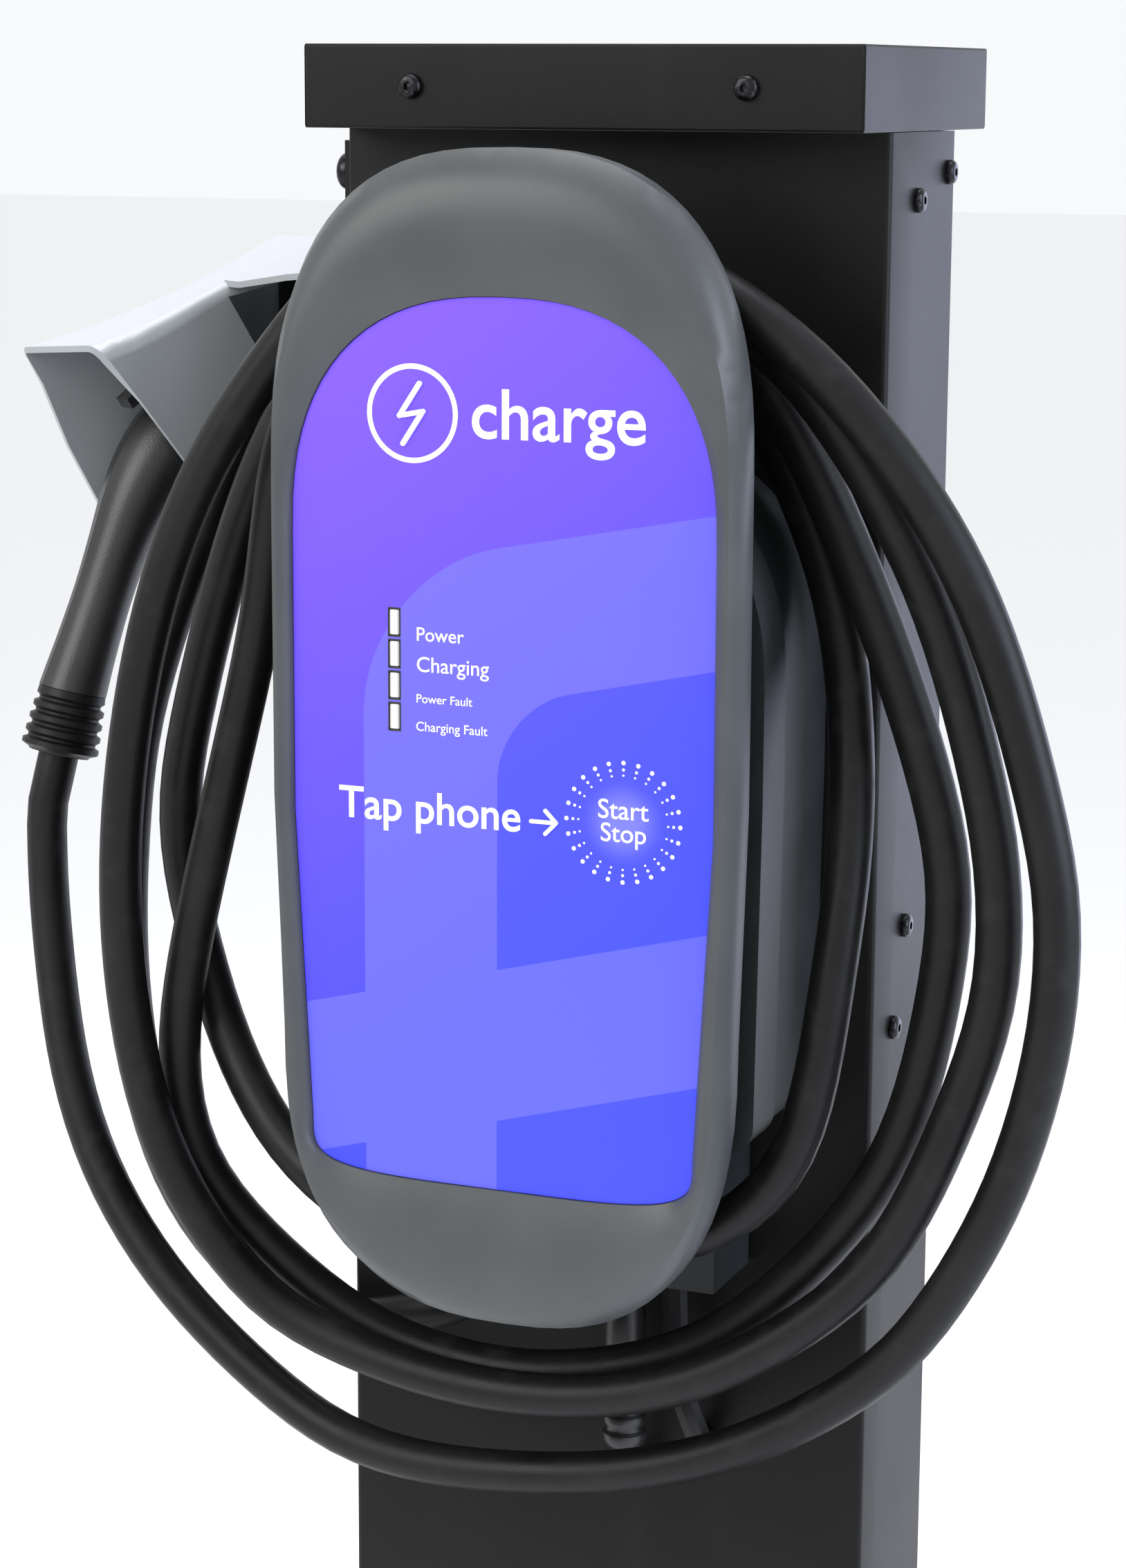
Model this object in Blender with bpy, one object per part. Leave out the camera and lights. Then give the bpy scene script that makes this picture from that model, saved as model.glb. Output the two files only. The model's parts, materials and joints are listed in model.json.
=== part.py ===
"""EV charging post: a folded-steel post with a wall-box charger, a hooded connector holster on its left
and a charging cable hung in loose turns round the charger.

Frame: metres, +Z up, origin on the ground at the centre of the post's footprint, the charger faces -Y.
"""

import math

import bmesh
import bpy
from mathutils import Matrix, Vector

GAP = 0.0003            # clearance between neighbours that touch on the real object

# Post, cap and base
TOTAL_HEIGHT = 1.372
POST_WIDTH = 0.254
POST_DEPTH = 0.096
POST_SHEET = 0.003
POST_BEND = 0.003       # outer bend radius of the folded corners
POST_LIP = 0.014        # return lips along the open back
COVER_SHEET = 0.002
CAP_HEIGHT = 0.036
CAP_SHEET = 0.002
CAP_SIDE = 0.0008       # how far the cap stands out past each side of the post
CAP_FRONT = 0.042       # overhang in front of the post
CAP_BACK = 0.048        # overhang behind it
CAP_SCREW_X = 0.0766
CAP_SCREW_DROP = 0.018  # cap screw centres under the cap's top
BASE_WIDTH = 0.330
BASE_DEPTH = 0.220
BASE_THICK = 0.012
ANCHOR_X = 0.145
ANCHOR_Y = 0.088
ANCHOR_BOLT_R = 0.006
ANCHOR_NUT_R = 0.0115
CONDUIT_SLOT = (0.070, 0.060)
CONDUIT_X = 0.060

# Screws
HEAD_R = 0.0054
HEAD_H = 0.0034
SHANK_R = 0.0024
HOLE_R = 0.0028
SHANK_L = 0.010
REAR_SCREW_Y = POST_DEPTH / 2 - 0.0085
SIDE_SCREWS = {         # (y, z) on each side of the post
    "upper_rear": (REAR_SCREW_Y, 1.3176),
    "upper_front": (-0.0082, 1.3065),
    "middle": (-0.0025, 0.9822),
    "lower": (-0.0173, 0.9381),
    "foot": (REAR_SCREW_Y, 0.1500),
}
CROSSBAR_SHEET = 0.003
CROSSBAR_DEPTH = 0.034
UPPER_BAR_Z = (1.290, 1.325)
LOWER_BAR_Z = (0.922, 0.998)

# Charger. Depths are measured forward from the post's front face.
FACE_Y = -POST_DEPTH / 2
PLATE_SHEET = 0.002
CHARGER_DEPTH = 0.130
RIM_BACK = 0.105
FLANGE_FRONT = 0.092
FLANGE_BACK = 0.062
LABEL_DEPTH = 0.1235
LABEL_THICK = 0.0025
HOUSING_WALL = 0.003
NECK_INSET = 0.009
GASKET_INSET = 0.0045
# Outlines: top, bottom, shoulder, waist and hip heights, half widths at waist and hip, corner exponents
FRONT_OUTLINE = (1.330, 0.829, 1.200, 1.060, 0.960, 0.1050, 0.1020, 2.6, 2.6)
LABEL_OUTLINE = (1.270, 0.891, 1.170, 1.050, 0.915, 0.0950, 0.0878, 2.45, 4.3)
BODY_OUTLINE = (1.208, 0.897, 1.110, 1.060, 0.922, 0.1035, 0.1015, 2.3, 2.2)
ARC_STEPS = 36

LENS_X = -0.0480
LENS_SIZE = (0.0044, 0.0106)
LENS_PITCH = 0.0134
LENS_TOP_Z = 1.1335
LENS_NAMES = ("lens_power", "lens_charging", "lens_power_fault", "lens_charging_fault")
TAP_CENTRE = (0.0525, 1.0560)

# Wiring chamber under the charger, with its glands
CHAMBER_X = (-0.030, 0.072)
CHAMBER_Z = (0.830, 0.902)
CHAMBER_DEPTH = (0.0029, 0.050)
CHAMBER_CHAMFER = 0.036
GLAND_R = 0.0150
GLAND_L = 0.012
RELIEF_L = 0.038
CABLE_D = 0.0195
CONDUIT_R = 0.0060      # the two leads into the post

# Holster frame: X into the dock, Y towards the far side wall, Z up
HOLSTER_OUT = 0.1542     # from the post's side to the hood's mouth
HOLSTER_AT = (-POST_WIDTH / 2 - HOLSTER_OUT, -0.0322, 1.2345)
HOLSTER_TURN = math.radians(55)
HOOD_HALF = 0.031
HOOD_WALL = 0.003
HOOD_LENGTH = 0.128
HOOD_RIDGE_R = 0.008
# (x, z) along the roof over the near and the far wall, and down each wall's raked front edge
HOOD_NEAR_TOP = ((0.0, 0.0), (0.0263, 0.0083), (0.0675, 0.0279), (0.0978, 0.0373), (HOOD_LENGTH, 0.0466))
HOOD_FAR_TOP = ((-0.0105, -0.0044), (0.0200, 0.0031), (0.0650, 0.0175), (0.0970, 0.0315),
                (HOOD_LENGTH, 0.0466))
HOOD_NEAR_MOUTH = ((0.0223, -0.0276), (0.0444, -0.0558), (0.0580, -0.0740))
HOOD_FAR_MOUTH = ((-0.0009, -0.0223), (0.0120, -0.0530), (0.0300, -0.0860))
NOSE_Z = -0.042
DOCK_R = 0.0262
DOCK_BORE_R = 0.0226
DOCK_MOUTH = 0.092
BRACKET_SHEET = 0.003
BRACKET_STRIP_BACK = -0.016     # rear edge of the strip that rises to the upper bolt

# Connector
NOSE_R = 0.0219
NOSE_WALL = 0.0024
NOSE_START = 0.080
NOSE_TIP = 0.122
SHELL_WALL = 0.0025
HANDLE_FOOT = (-0.0020, -0.1677)
HANDLE_TILT = math.radians(15)
BOOT_L = 0.031
LATCH_PIVOT = (0.0700, -0.0118)
LATCH_PIN_R = 0.0012
LATCH_HALF = 0.006
LUG_T = 0.003
SPRING_R = 0.0022
SPRING_WIRE_R = 0.00035
SPRING_TURNS = 3.5
SPRING_L = 0.0048

# The cable's centre line, from the gland to the connector's boot, for a post whose face is at CABLE_FACE_Y
CABLE_FACE_Y = -0.048
CABLE_ROUTE = (
    # out of the gland, low on the left, up behind the other strands and over the charger
    (-0.070, -0.0735, 0.797), (-0.123, -0.068, 0.779), (-0.163, -0.060, 0.783), (-0.202, -0.056, 0.808),
    (-0.229, -0.055, 0.853), (-0.241, -0.055, 0.910), (-0.243, -0.056, 0.962), (-0.239, -0.057, 1.013),
    (-0.230, -0.058, 1.067), (-0.189, -0.061, 1.170), (-0.150, -0.064, 1.236), (-0.090, -0.067, 1.262),
    # first turn: down close by the charger's right side, under it, up close by its left side
    (-0.010, -0.068, 1.266), (0.060, -0.069, 1.242), (0.111, -0.080, 1.160), (0.128, -0.095, 1.103),
    (0.136, -0.113, 1.044), (0.132, -0.126, 0.980), (0.127, -0.130, 0.936), (0.114, -0.131, 0.896),
    (0.080, -0.131, 0.868), (0.040, -0.131, 0.857), (-0.010, -0.131, 0.848), (-0.070, -0.129, 0.849),
    (-0.121, -0.120, 0.874), (-0.149, -0.106, 0.897), (-0.179, -0.085, 0.932), (-0.200, -0.082, 1.008),
    (-0.195, -0.082, 1.057), (-0.162, -0.086, 1.164),
    # second turn
    (-0.125, -0.088, 1.232), (-0.072, -0.090, 1.266), (-0.005, -0.091, 1.278), (0.067, -0.092, 1.254),
    (0.102, -0.094, 1.214), (0.146, -0.099, 1.125), (0.174, -0.102, 1.044), (0.176, -0.103, 0.999),
    (0.153, -0.105, 0.900), (0.084, -0.104, 0.818), (0.031, -0.103, 0.792), (-0.023, -0.103, 0.782),
    (-0.071, -0.103, 0.787), (-0.109, -0.104, 0.801), (-0.175, -0.106, 0.855), (-0.189, -0.107, 0.905),
    (-0.182, -0.109, 0.959), (-0.156, -0.110, 1.062), (-0.141, -0.110, 1.122),
    # third turn
    (-0.125, -0.111, 1.215), (-0.080, -0.112, 1.268), (-0.008, -0.113, 1.290), (0.074, -0.114, 1.264),
    (0.115, -0.115, 1.234), (0.167, -0.116, 1.154), (0.197, -0.115, 1.057), (0.202, -0.116, 1.014),
    (0.199, -0.118, 0.970), (0.163, -0.123, 0.875), (0.128, -0.126, 0.836), (0.076, -0.128, 0.801),
    (0.018, -0.128, 0.784), (-0.046, -0.128, 0.783), (-0.101, -0.128, 0.795), (-0.139, -0.128, 0.812),
    (-0.187, -0.129, 0.878), (-0.206, -0.128, 0.978), (-0.194, -0.131, 1.088), (-0.161, -0.133, 1.183),
    # last turn: the widest, across the post below the charger and up to the connector
    (-0.105, -0.134, 1.260), (-0.068, -0.135, 1.290), (0.000, -0.136, 1.303), (0.076, -0.137, 1.277),
    (0.137, -0.136, 1.232), (0.192, -0.131, 1.154), (0.227, -0.130, 1.046), (0.230, -0.129, 1.010),
    (0.227, -0.129, 0.965), (0.208, -0.127, 0.897), (0.169, -0.122, 0.827), (0.134, -0.118, 0.795),
    (0.089, -0.115, 0.766), (0.034, -0.110, 0.745), (-0.021, -0.106, 0.735), (-0.075, -0.102, 0.731),
    (-0.127, -0.096, 0.741), (-0.213, -0.082, 0.797), (-0.266, -0.066, 0.869), (-0.291, -0.047, 0.972),
)
CABLE_POINTS = 92
CABLE_EASE = 0.022      # how widely the cable's stiffness evens out its bends


# --- helpers ---------------------------------------------------------------------------------------------

def clear_scene():
    for old in list(bpy.data.objects):
        bpy.data.objects.remove(old, do_unlink=True)


def material(name, color, roughness=0.5, metallic=0.0):
    """One Principled material per finish, made once."""
    found = bpy.data.materials.get(name)
    if found:
        return found
    made = bpy.data.materials.new(name)
    made.use_nodes = True
    shader = made.node_tree.nodes["Principled BSDF"]
    shader.inputs["Base Color"].default_value = (*color, 1.0)
    shader.inputs["Roughness"].default_value = roughness
    shader.inputs["Metallic"].default_value = metallic
    return made


def finishes():
    """The object's finishes by name."""
    return {
        "charcoal": material("charcoal_powder_coat", (0.022, 0.022, 0.021), 0.55, 0.3),
        "galvanised": material("galvanised_steel", (0.45, 0.46, 0.47), 0.45, 1.0),
        "black_screw": material("black_screw", (0.015, 0.015, 0.016), 0.35, 0.8),
        "cover": material("cover_grey", (0.16, 0.17, 0.18), 0.45),
        "housing": material("housing_grey", (0.055, 0.06, 0.06), 0.5),
        "rubber": material("black_rubber", (0.012, 0.012, 0.012), 0.6),
        "label": material("label_blue", (0.13, 0.11, 0.95), 0.3),
        "lens": material("lens_grey", (0.62, 0.62, 0.58), 0.3),
        "board": material("board_green", (0.02, 0.16, 0.07), 0.5),
        "relay": material("relay_black", (0.02, 0.02, 0.02), 0.4),
        "hood": material("hood_grey", (0.45, 0.48, 0.52), 0.45),
        "handle": material("handle_black", (0.02, 0.02, 0.02), 0.42),
        "brass": material("contact_brass", (0.75, 0.55, 0.25), 0.3, 1.0),
        "steel": material("spring_steel", (0.6, 0.6, 0.6), 0.3, 1.0),
    }


def place(name, mesh_data, finish, parent=None, location=(0, 0, 0), rotation=(0, 0, 0)):
    """An object in the scene, placed under its parent if it has one."""
    made = bpy.data.objects.new(name, mesh_data)
    bpy.context.scene.collection.objects.link(made)
    made.data.materials.append(finish)
    made.parent = parent
    made.location = location
    made.rotation_euler = rotation
    return made


def solid(name, shape, finish, smooth=True, **where):
    """Turns a closed bmesh into an object with its faces pointing out."""
    bmesh.ops.recalc_face_normals(shape, faces=shape.faces)
    mesh_data = bpy.data.meshes.new(name)
    shape.to_mesh(mesh_data)
    shape.free()
    made = place(name, mesh_data, finish, **where)
    if smooth:
        mesh_data.shade_smooth()
        mesh_data.set_sharp_from_angle(angle=math.radians(35))
    return made


def add_loft(shape, rings, closed=False):
    """Skins a list of equal rings; the two ends are capped, or joined to each other when closed."""
    rows = [[shape.verts.new(point) for point in ring] for ring in rings]
    count = len(rows[0])
    pairs = list(zip(rows, rows[1:]))
    if closed:
        pairs.append((rows[-1], rows[0]))
    for low, high in pairs:
        for i in range(count):
            j = (i + 1) % count
            shape.faces.new((low[i], low[j], high[j], high[i]))
    if not closed:
        shape.faces.new(list(reversed(rows[0])))
        shape.faces.new(rows[-1])


def lofted(rings, closed=False):
    shape = bmesh.new()
    add_loft(shape, rings, closed)
    return shape


def add_box(shape, low, high):
    """A box between two corners, added to a bmesh."""
    x0, y0, z0 = low
    x1, y1, z1 = high
    bottom = [(x0, y0, z0), (x1, y0, z0), (x1, y1, z0), (x0, y1, z0)]
    add_loft(shape, [bottom, [(x, y, z1) for x, y, _ in bottom]])


def box(low, high, bevel=0.0):
    shape = bmesh.new()
    add_box(shape, low, high)
    if bevel:
        bmesh.ops.bevel(shape, geom=list(shape.edges), offset=bevel, segments=1, affect="EDGES")
    return shape


def add_rod(shape, start, end, radius, sides=12):
    """A closed round bar from start to end."""
    start = Vector(start)
    along = Vector(end) - start
    turn = along.to_track_quat("Z", "X").to_matrix()
    rings = []
    for step in (0.0, 1.0):
        ring = []
        for i in range(sides):
            angle = 2 * math.pi * i / sides
            ring.append(start + along * step + turn @ Vector((math.cos(angle), math.sin(angle), 0)) * radius)
        rings.append(ring)
    add_loft(shape, rings)


def turned(profile, sides=16, closed=False):
    """Turns (radius, height) points round Z. Points at radius 0 close the ends."""
    shape = bmesh.new()
    rows = []
    for radius, height in profile:
        if radius == 0:
            rows.append([shape.verts.new((0, 0, height))])
            continue
        row = []
        for i in range(sides):
            angle = 2 * math.pi * i / sides
            row.append(shape.verts.new((radius * math.cos(angle), radius * math.sin(angle), height)))
        rows.append(row)
    pairs = list(zip(rows, rows[1:]))
    if closed:
        pairs.append((rows[-1], rows[0]))
    for low, high in pairs:
        for i in range(sides):
            j = (i + 1) % sides
            corners = [low[i % len(low)], low[j % len(low)], high[j % len(high)], high[i % len(high)]]
            shape.faces.new(list(dict.fromkeys(corners)))
    return shape


def prism(outline, low, high, axis="Z"):
    """Extrudes a plane outline. Axis X takes (y, z) points, Y takes (x, z) and Z takes (x, y)."""
    build = {
        "X": lambda a, b, d: (d, a, b),
        "Y": lambda a, b, d: (a, d, b),
        "Z": lambda a, b, d: (a, b, d),
    }[axis]
    return lofted([[build(a, b, low) for a, b in outline], [build(a, b, high) for a, b in outline]])


def modify(target, kind, tool):
    """A Boolean on target with a hidden tool object."""
    tool.hide_render = True
    tool.display_type = "WIRE"
    modifier = target.modifiers.new(kind.lower() + "_" + tool.name, "BOOLEAN")
    modifier.operation = kind
    modifier.object = tool
    modifier.solver = "EXACT"


def cut(target, shape, name):
    """Cuts a closed shape out of target. The cutter keeps target's own frame."""
    cutter = solid("cutter_" + name, shape, target.data.materials[0], smooth=False, parent=target.parent,
                   location=target.location, rotation=target.rotation_euler)
    modify(target, "DIFFERENCE", cutter)


def join(target, shape, name):
    """Joins a closed shape to target."""
    added = solid("joined_" + name, shape, target.data.materials[0], smooth=False, parent=target.parent,
                  location=target.location, rotation=target.rotation_euler)
    modify(target, "UNION", added)


def rounded_corner(corner, before, after, radius, steps=3):
    """Points of a fillet at a corner of an outline."""
    corner, before, after = Vector(corner), Vector(before), Vector(after)
    back = (before - corner).normalized() * radius
    ahead = (after - corner).normalized() * radius
    points = []
    for i in range(steps + 1):
        t = i / steps
        points.append(tuple(corner + back * (1 - t) ** 2 + ahead * t ** 2))
    return points


def mixed(first, second, share):
    """Outline part-way between two outlines of equal count."""
    return [(a[0] + (b[0] - a[0]) * share, a[1] + (b[1] - a[1]) * share) for a, b in zip(first, second)]


def grown(outline, amount):
    """Offsets a counter-clockwise outline outwards along its corners' normals."""
    made = []
    for i, here in enumerate(outline):
        before, after = outline[i - 1], outline[(i + 1) % len(outline)]
        edge_in = Vector((here[0] - before[0], here[1] - before[1])).normalized()
        edge_out = Vector((after[0] - here[0], after[1] - here[1])).normalized()
        normal_in = Vector((edge_in.y, -edge_in.x))
        normal_out = Vector((edge_out.y, -edge_out.x))
        corner = (normal_in + normal_out).normalized()
        reach = amount / max(corner.dot(normal_out), 0.5)
        made.append((here[0] + corner.x * reach, here[1] + corner.y * reach))
    return made


def charger_outline(top, bottom, shoulder, waist, hip, half_waist, half_hip, top_power, bottom_power):
    """Counter-clockwise (x, z) outline: arched top, straight tapering sides, round bottom."""
    points = []
    for i in range(ARC_STEPS + 1):
        angle = math.pi * i / ARC_STEPS
        c, s = math.cos(angle), math.sin(angle)
        x = half_waist * math.copysign(abs(c) ** (2 / top_power), c)
        points.append((x, shoulder + (top - shoulder) * abs(s) ** (2 / top_power)))
    points.append((-half_waist, waist))
    for i in range(ARC_STEPS + 1):
        angle = math.pi * i / ARC_STEPS
        c, s = math.cos(angle), math.sin(angle)
        x = -half_hip * math.copysign(abs(c) ** (2 / bottom_power), c)
        points.append((x, hip - (hip - bottom) * abs(s) ** (2 / bottom_power)))
    points.append((half_waist, waist))
    return points


def ahead(outline, depth):
    """Stands an (x, z) outline in front of the post's face, as 3-D points."""
    return [(x, FACE_Y - depth, z) for x, z in outline]


# --- post ------------------------------------------------------------------------------------------------

def post_top():
    return TOTAL_HEIGHT - CAP_HEIGHT - GAP


def side_signs():
    return (("left", -1), ("right", 1))


def screw_holes(shape, x_low, x_high, rows):
    """Clearance holes through one wall, at (y, z) places."""
    for y, z in rows:
        add_rod(shape, (x_low, y, z), (x_high, y, z), HOLE_R)


def build_base(finish):
    plate = solid("base_plate", box((-BASE_WIDTH / 2, -BASE_DEPTH / 2, 0),
                                    (BASE_WIDTH / 2, BASE_DEPTH / 2, BASE_THICK), 0.001), finish["charcoal"])
    holes = bmesh.new()
    for x in (-ANCHOR_X, ANCHOR_X):
        for y in (-ANCHOR_Y, ANCHOR_Y):
            add_rod(holes, (x, y, -0.01), (x, y, BASE_THICK + 0.01), ANCHOR_BOLT_R + 0.001, 16)
    wide, deep = CONDUIT_SLOT
    for x in (-CONDUIT_X, CONDUIT_X):
        add_box(holes, (x - wide / 2, -deep / 2, -0.01), (x + wide / 2, deep / 2, BASE_THICK + 0.01))
    cut(plate, holes, "base_openings")

    stud_top = BASE_THICK + GAP + 0.028
    nut_low = BASE_THICK + GAP
    profile = [
        (0, GAP), (ANCHOR_BOLT_R, GAP), (ANCHOR_BOLT_R, nut_low), (ANCHOR_NUT_R + 0.002, nut_low),
        (ANCHOR_NUT_R + 0.002, nut_low + 0.002), (ANCHOR_NUT_R, nut_low + 0.002),
        (ANCHOR_NUT_R, nut_low + 0.012), (ANCHOR_BOLT_R, nut_low + 0.013), (ANCHOR_BOLT_R, stud_top),
        (0, stud_top),
    ]
    corners = [(x, y) for x in (-ANCHOR_X, ANCHOR_X) for y in (-ANCHOR_Y, ANCHOR_Y)]
    for number, (x, y) in enumerate(corners, 1):
        solid(f"anchor_bolt_{number}", turned(profile, 12), finish["galvanised"], location=(x, y, 0))


def channel_outline():
    """Plan of the folded channel: front, two sides and the return lips along the open back."""
    w, d, t = POST_WIDTH / 2, POST_DEPTH / 2, POST_SHEET
    outer = [(-w, d), (-w, -d), (w, -d), (w, d)]
    outline = [outer[0]]
    outline += rounded_corner(outer[1], outer[0], outer[2], POST_BEND)
    outline += rounded_corner(outer[2], outer[1], outer[3], POST_BEND)
    outline += [outer[3], (w - t, d), (w - t, -d + t), (-w + t, -d + t), (-w + t, d)]
    return outline


def build_post(finish):
    low = BASE_THICK + GAP
    channel = solid("post_channel", prism(channel_outline(), low, post_top()), finish["charcoal"])
    holes = bmesh.new()
    half = POST_WIDTH / 2
    for _, sign in side_signs():
        screw_holes(holes, sign * (half - 0.01), sign * (half + 0.01), SIDE_SCREWS.values())
    for x, z in conduit_ends():
        add_rod(holes, (x, FACE_Y - 0.01, z), (x, FACE_Y + 0.01, z), CONDUIT_R + 0.0008, 16)
    cut(channel, holes, "channel_holes")

    inner = half - POST_SHEET - GAP
    back = POST_DEPTH / 2
    flange = 0.018
    t = COVER_SHEET
    plan = [(-inner, back - flange), (-inner + t, back - flange), (-inner + t, back - t),
            (inner - t, back - t), (inner - t, back - flange), (inner, back - flange),
            (inner, back), (-inner, back)]
    cover = solid("rear_cover", prism(plan, low, post_top()), finish["charcoal"])
    holes = bmesh.new()
    rows = [SIDE_SCREWS["upper_rear"], SIDE_SCREWS["foot"]]
    for _, sign in side_signs():
        screw_holes(holes, sign * (inner - 0.01), sign * (inner + 0.01), rows)
    cut(cover, holes, "rear_cover_holes")


def build_crossbar(name, heights, rows, finish):
    """A U-shaped bar across the post, flanged against both sides, which the side screws hold."""
    inner = POST_WIDTH / 2 - POST_SHEET - GAP
    front = -POST_DEPTH / 2 + POST_SHEET + GAP
    t = CROSSBAR_SHEET
    plan = [(-inner, front), (inner, front), (inner, front + CROSSBAR_DEPTH + 0.016),
            (inner - t, front + CROSSBAR_DEPTH + 0.016), (inner - t, front + t), (-inner + t, front + t),
            (-inner + t, front + CROSSBAR_DEPTH + 0.016), (-inner, front + CROSSBAR_DEPTH + 0.016)]
    bar = solid(name, prism(plan, *heights), finish["galvanised"])
    holes = bmesh.new()
    for _, sign in side_signs():
        screw_holes(holes, sign * (inner - 0.01), sign * (inner + 0.01), rows)
    cut(bar, holes, name + "_holes")


def screw(name, at, axis_turn, finish):
    """Button-head screw, its head's seat at the origin and its shank along -Z."""
    profile = [
        (0, HEAD_H), (HEAD_R * 0.55, HEAD_H * 0.92), (HEAD_R * 0.88, HEAD_H * 0.55), (HEAD_R, 0),
        (SHANK_R, 0), (SHANK_R, -SHANK_L), (0, -SHANK_L),
    ]
    solid(name, turned(profile, 12), finish["black_screw"], location=at, rotation=axis_turn)


def build_side_screws(finish):
    for side, sign in side_signs():
        for place_name, (y, z) in SIDE_SCREWS.items():
            at = (sign * (POST_WIDTH / 2 + GAP), y, z)
            screw(f"{side}_screw_{place_name}", at, (0, sign * math.pi / 2, 0), finish)


def build_cap(finish):
    """An open-bottomed lid that stands on the post's sides, and the tray under it that its screws hold."""
    half = POST_WIDTH / 2 + CAP_SIDE
    front = -POST_DEPTH / 2 - CAP_FRONT
    back = POST_DEPTH / 2 + CAP_BACK
    low = TOTAL_HEIGHT - CAP_HEIGHT
    cap = solid("cap", box((-half, front, low), (half, back, TOTAL_HEIGHT), 0.0006), finish["charcoal"])
    t = CAP_SHEET
    cut(cap, box((-half + t, front + t, low - 0.01), (half - t, back - t, TOTAL_HEIGHT - t)), "cap_inside")
    screw_z = TOTAL_HEIGHT - CAP_SCREW_DROP
    holes = bmesh.new()
    for x in (-CAP_SCREW_X, CAP_SCREW_X):
        add_rod(holes, (x, front - 0.005, screw_z), (x, front + 0.005, screw_z), HOLE_R)
    cut(cap, holes, "cap_holes")

    y0, y1 = front + t + GAP, back - t - GAP
    z0 = post_top() + GAP
    sheet = CROSSBAR_SHEET
    z1 = z0 + 0.030
    profile = [(y0, z0), (y1, z0), (y1, z1), (y1 - sheet, z1), (y1 - sheet, z0 + sheet),
               (y0 + sheet, z0 + sheet), (y0 + sheet, z1), (y0, z1)]
    inner = half - t - GAP
    tray = solid("cap_tray", prism(profile, -inner, inner, "X"), finish["galvanised"])
    holes = bmesh.new()
    for x in (-CAP_SCREW_X, CAP_SCREW_X):
        add_rod(holes, (x, y0 - 0.01, screw_z), (x, y0 + 0.01, screw_z), HOLE_R)
    cut(tray, holes, "tray_holes")
    for side, sign in side_signs():
        at = (sign * CAP_SCREW_X, front - GAP, screw_z)
        screw(f"cap_screw_{side}", at, (math.pi / 2, 0, 0), finish)


# --- charger ---------------------------------------------------------------------------------------------

def build_front_cover(finish):
    """The grey front: a swollen frame round the label recess, open behind to the housing's neck."""
    front = charger_outline(*FRONT_OUTLINE)
    label = charger_outline(*LABEL_OUTLINE)
    neck = grown(charger_outline(*BODY_OUTLINE), -NECK_INSET)
    seat = LABEL_DEPTH - LABEL_THICK - GAP
    outer_steps = ((0.00, 0.118), (0.12, 0.1255), (0.30, 0.1295), (0.50, 0.1300), (0.75, 0.1285),
                   (0.93, 0.1258))
    rings = [ahead(grown(front, -0.001), RIM_BACK), ahead(front, RIM_BACK + 0.003)]
    for share, depth in outer_steps:
        rings.append(ahead(mixed(front, label, share), depth + CHARGER_DEPTH - 0.130))
    recess = grown(label, GAP)
    rings += [ahead(recess, LABEL_DEPTH + 0.0012), ahead(recess, seat)]
    window = grown(label, -0.006)
    rings += [ahead(window, seat), ahead(window, seat - HOUSING_WALL)]
    rings += [ahead(grown(label, 0.0030), seat - HOUSING_WALL)]
    rings += [ahead(mixed(front, label, 0.45), CHARGER_DEPTH - 0.0032)]
    hollow = grown(front, -HOUSING_WALL)
    rings += [ahead(hollow, RIM_BACK + 0.0115), ahead(hollow, RIM_BACK + HOUSING_WALL)]
    opening = grown(neck, 0.0010)
    rings += [ahead(opening, RIM_BACK + HOUSING_WALL), ahead(opening, RIM_BACK)]
    solid("front_cover", lofted(rings, closed=True), finish["cover"])

    gasket_out = grown(neck, GASKET_INSET)
    rings = [ahead(gasket_out, FLANGE_FRONT + GAP), ahead(gasket_out, RIM_BACK - GAP),
             ahead(grown(neck, GAP), RIM_BACK - GAP), ahead(grown(neck, GAP), FLANGE_FRONT + GAP)]
    solid("cover_gasket", lofted(rings, closed=True), finish["rubber"])


def lens_places():
    """Name, low corner and high corner of each indicator window, as (x, z)."""
    wide, tall = LENS_SIZE
    for i, name in enumerate(LENS_NAMES):
        z = LENS_TOP_Z - i * LENS_PITCH
        yield name, (LENS_X - wide / 2, z - tall / 2), (LENS_X + wide / 2, z + tall / 2)


def build_label(finish):
    label = charger_outline(*LABEL_OUTLINE)
    panel = solid("label_panel", lofted([ahead(label, LABEL_DEPTH - LABEL_THICK), ahead(label, LABEL_DEPTH)]),
                  finish["label"])
    windows = bmesh.new()
    front, rear = FACE_Y - LABEL_DEPTH, FACE_Y - LABEL_DEPTH + LABEL_THICK
    for name, (x0, z0), (x1, z1) in lens_places():
        add_box(windows, (x0 - GAP, front - 0.01, z0 - GAP), (x1 + GAP, rear + 0.01, z1 + GAP))
        solid(name, box((x0, front - 0.0003, z0), (x1, rear, z1), 0.0004), finish["lens"])
    cut(panel, windows, "label_windows")


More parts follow.
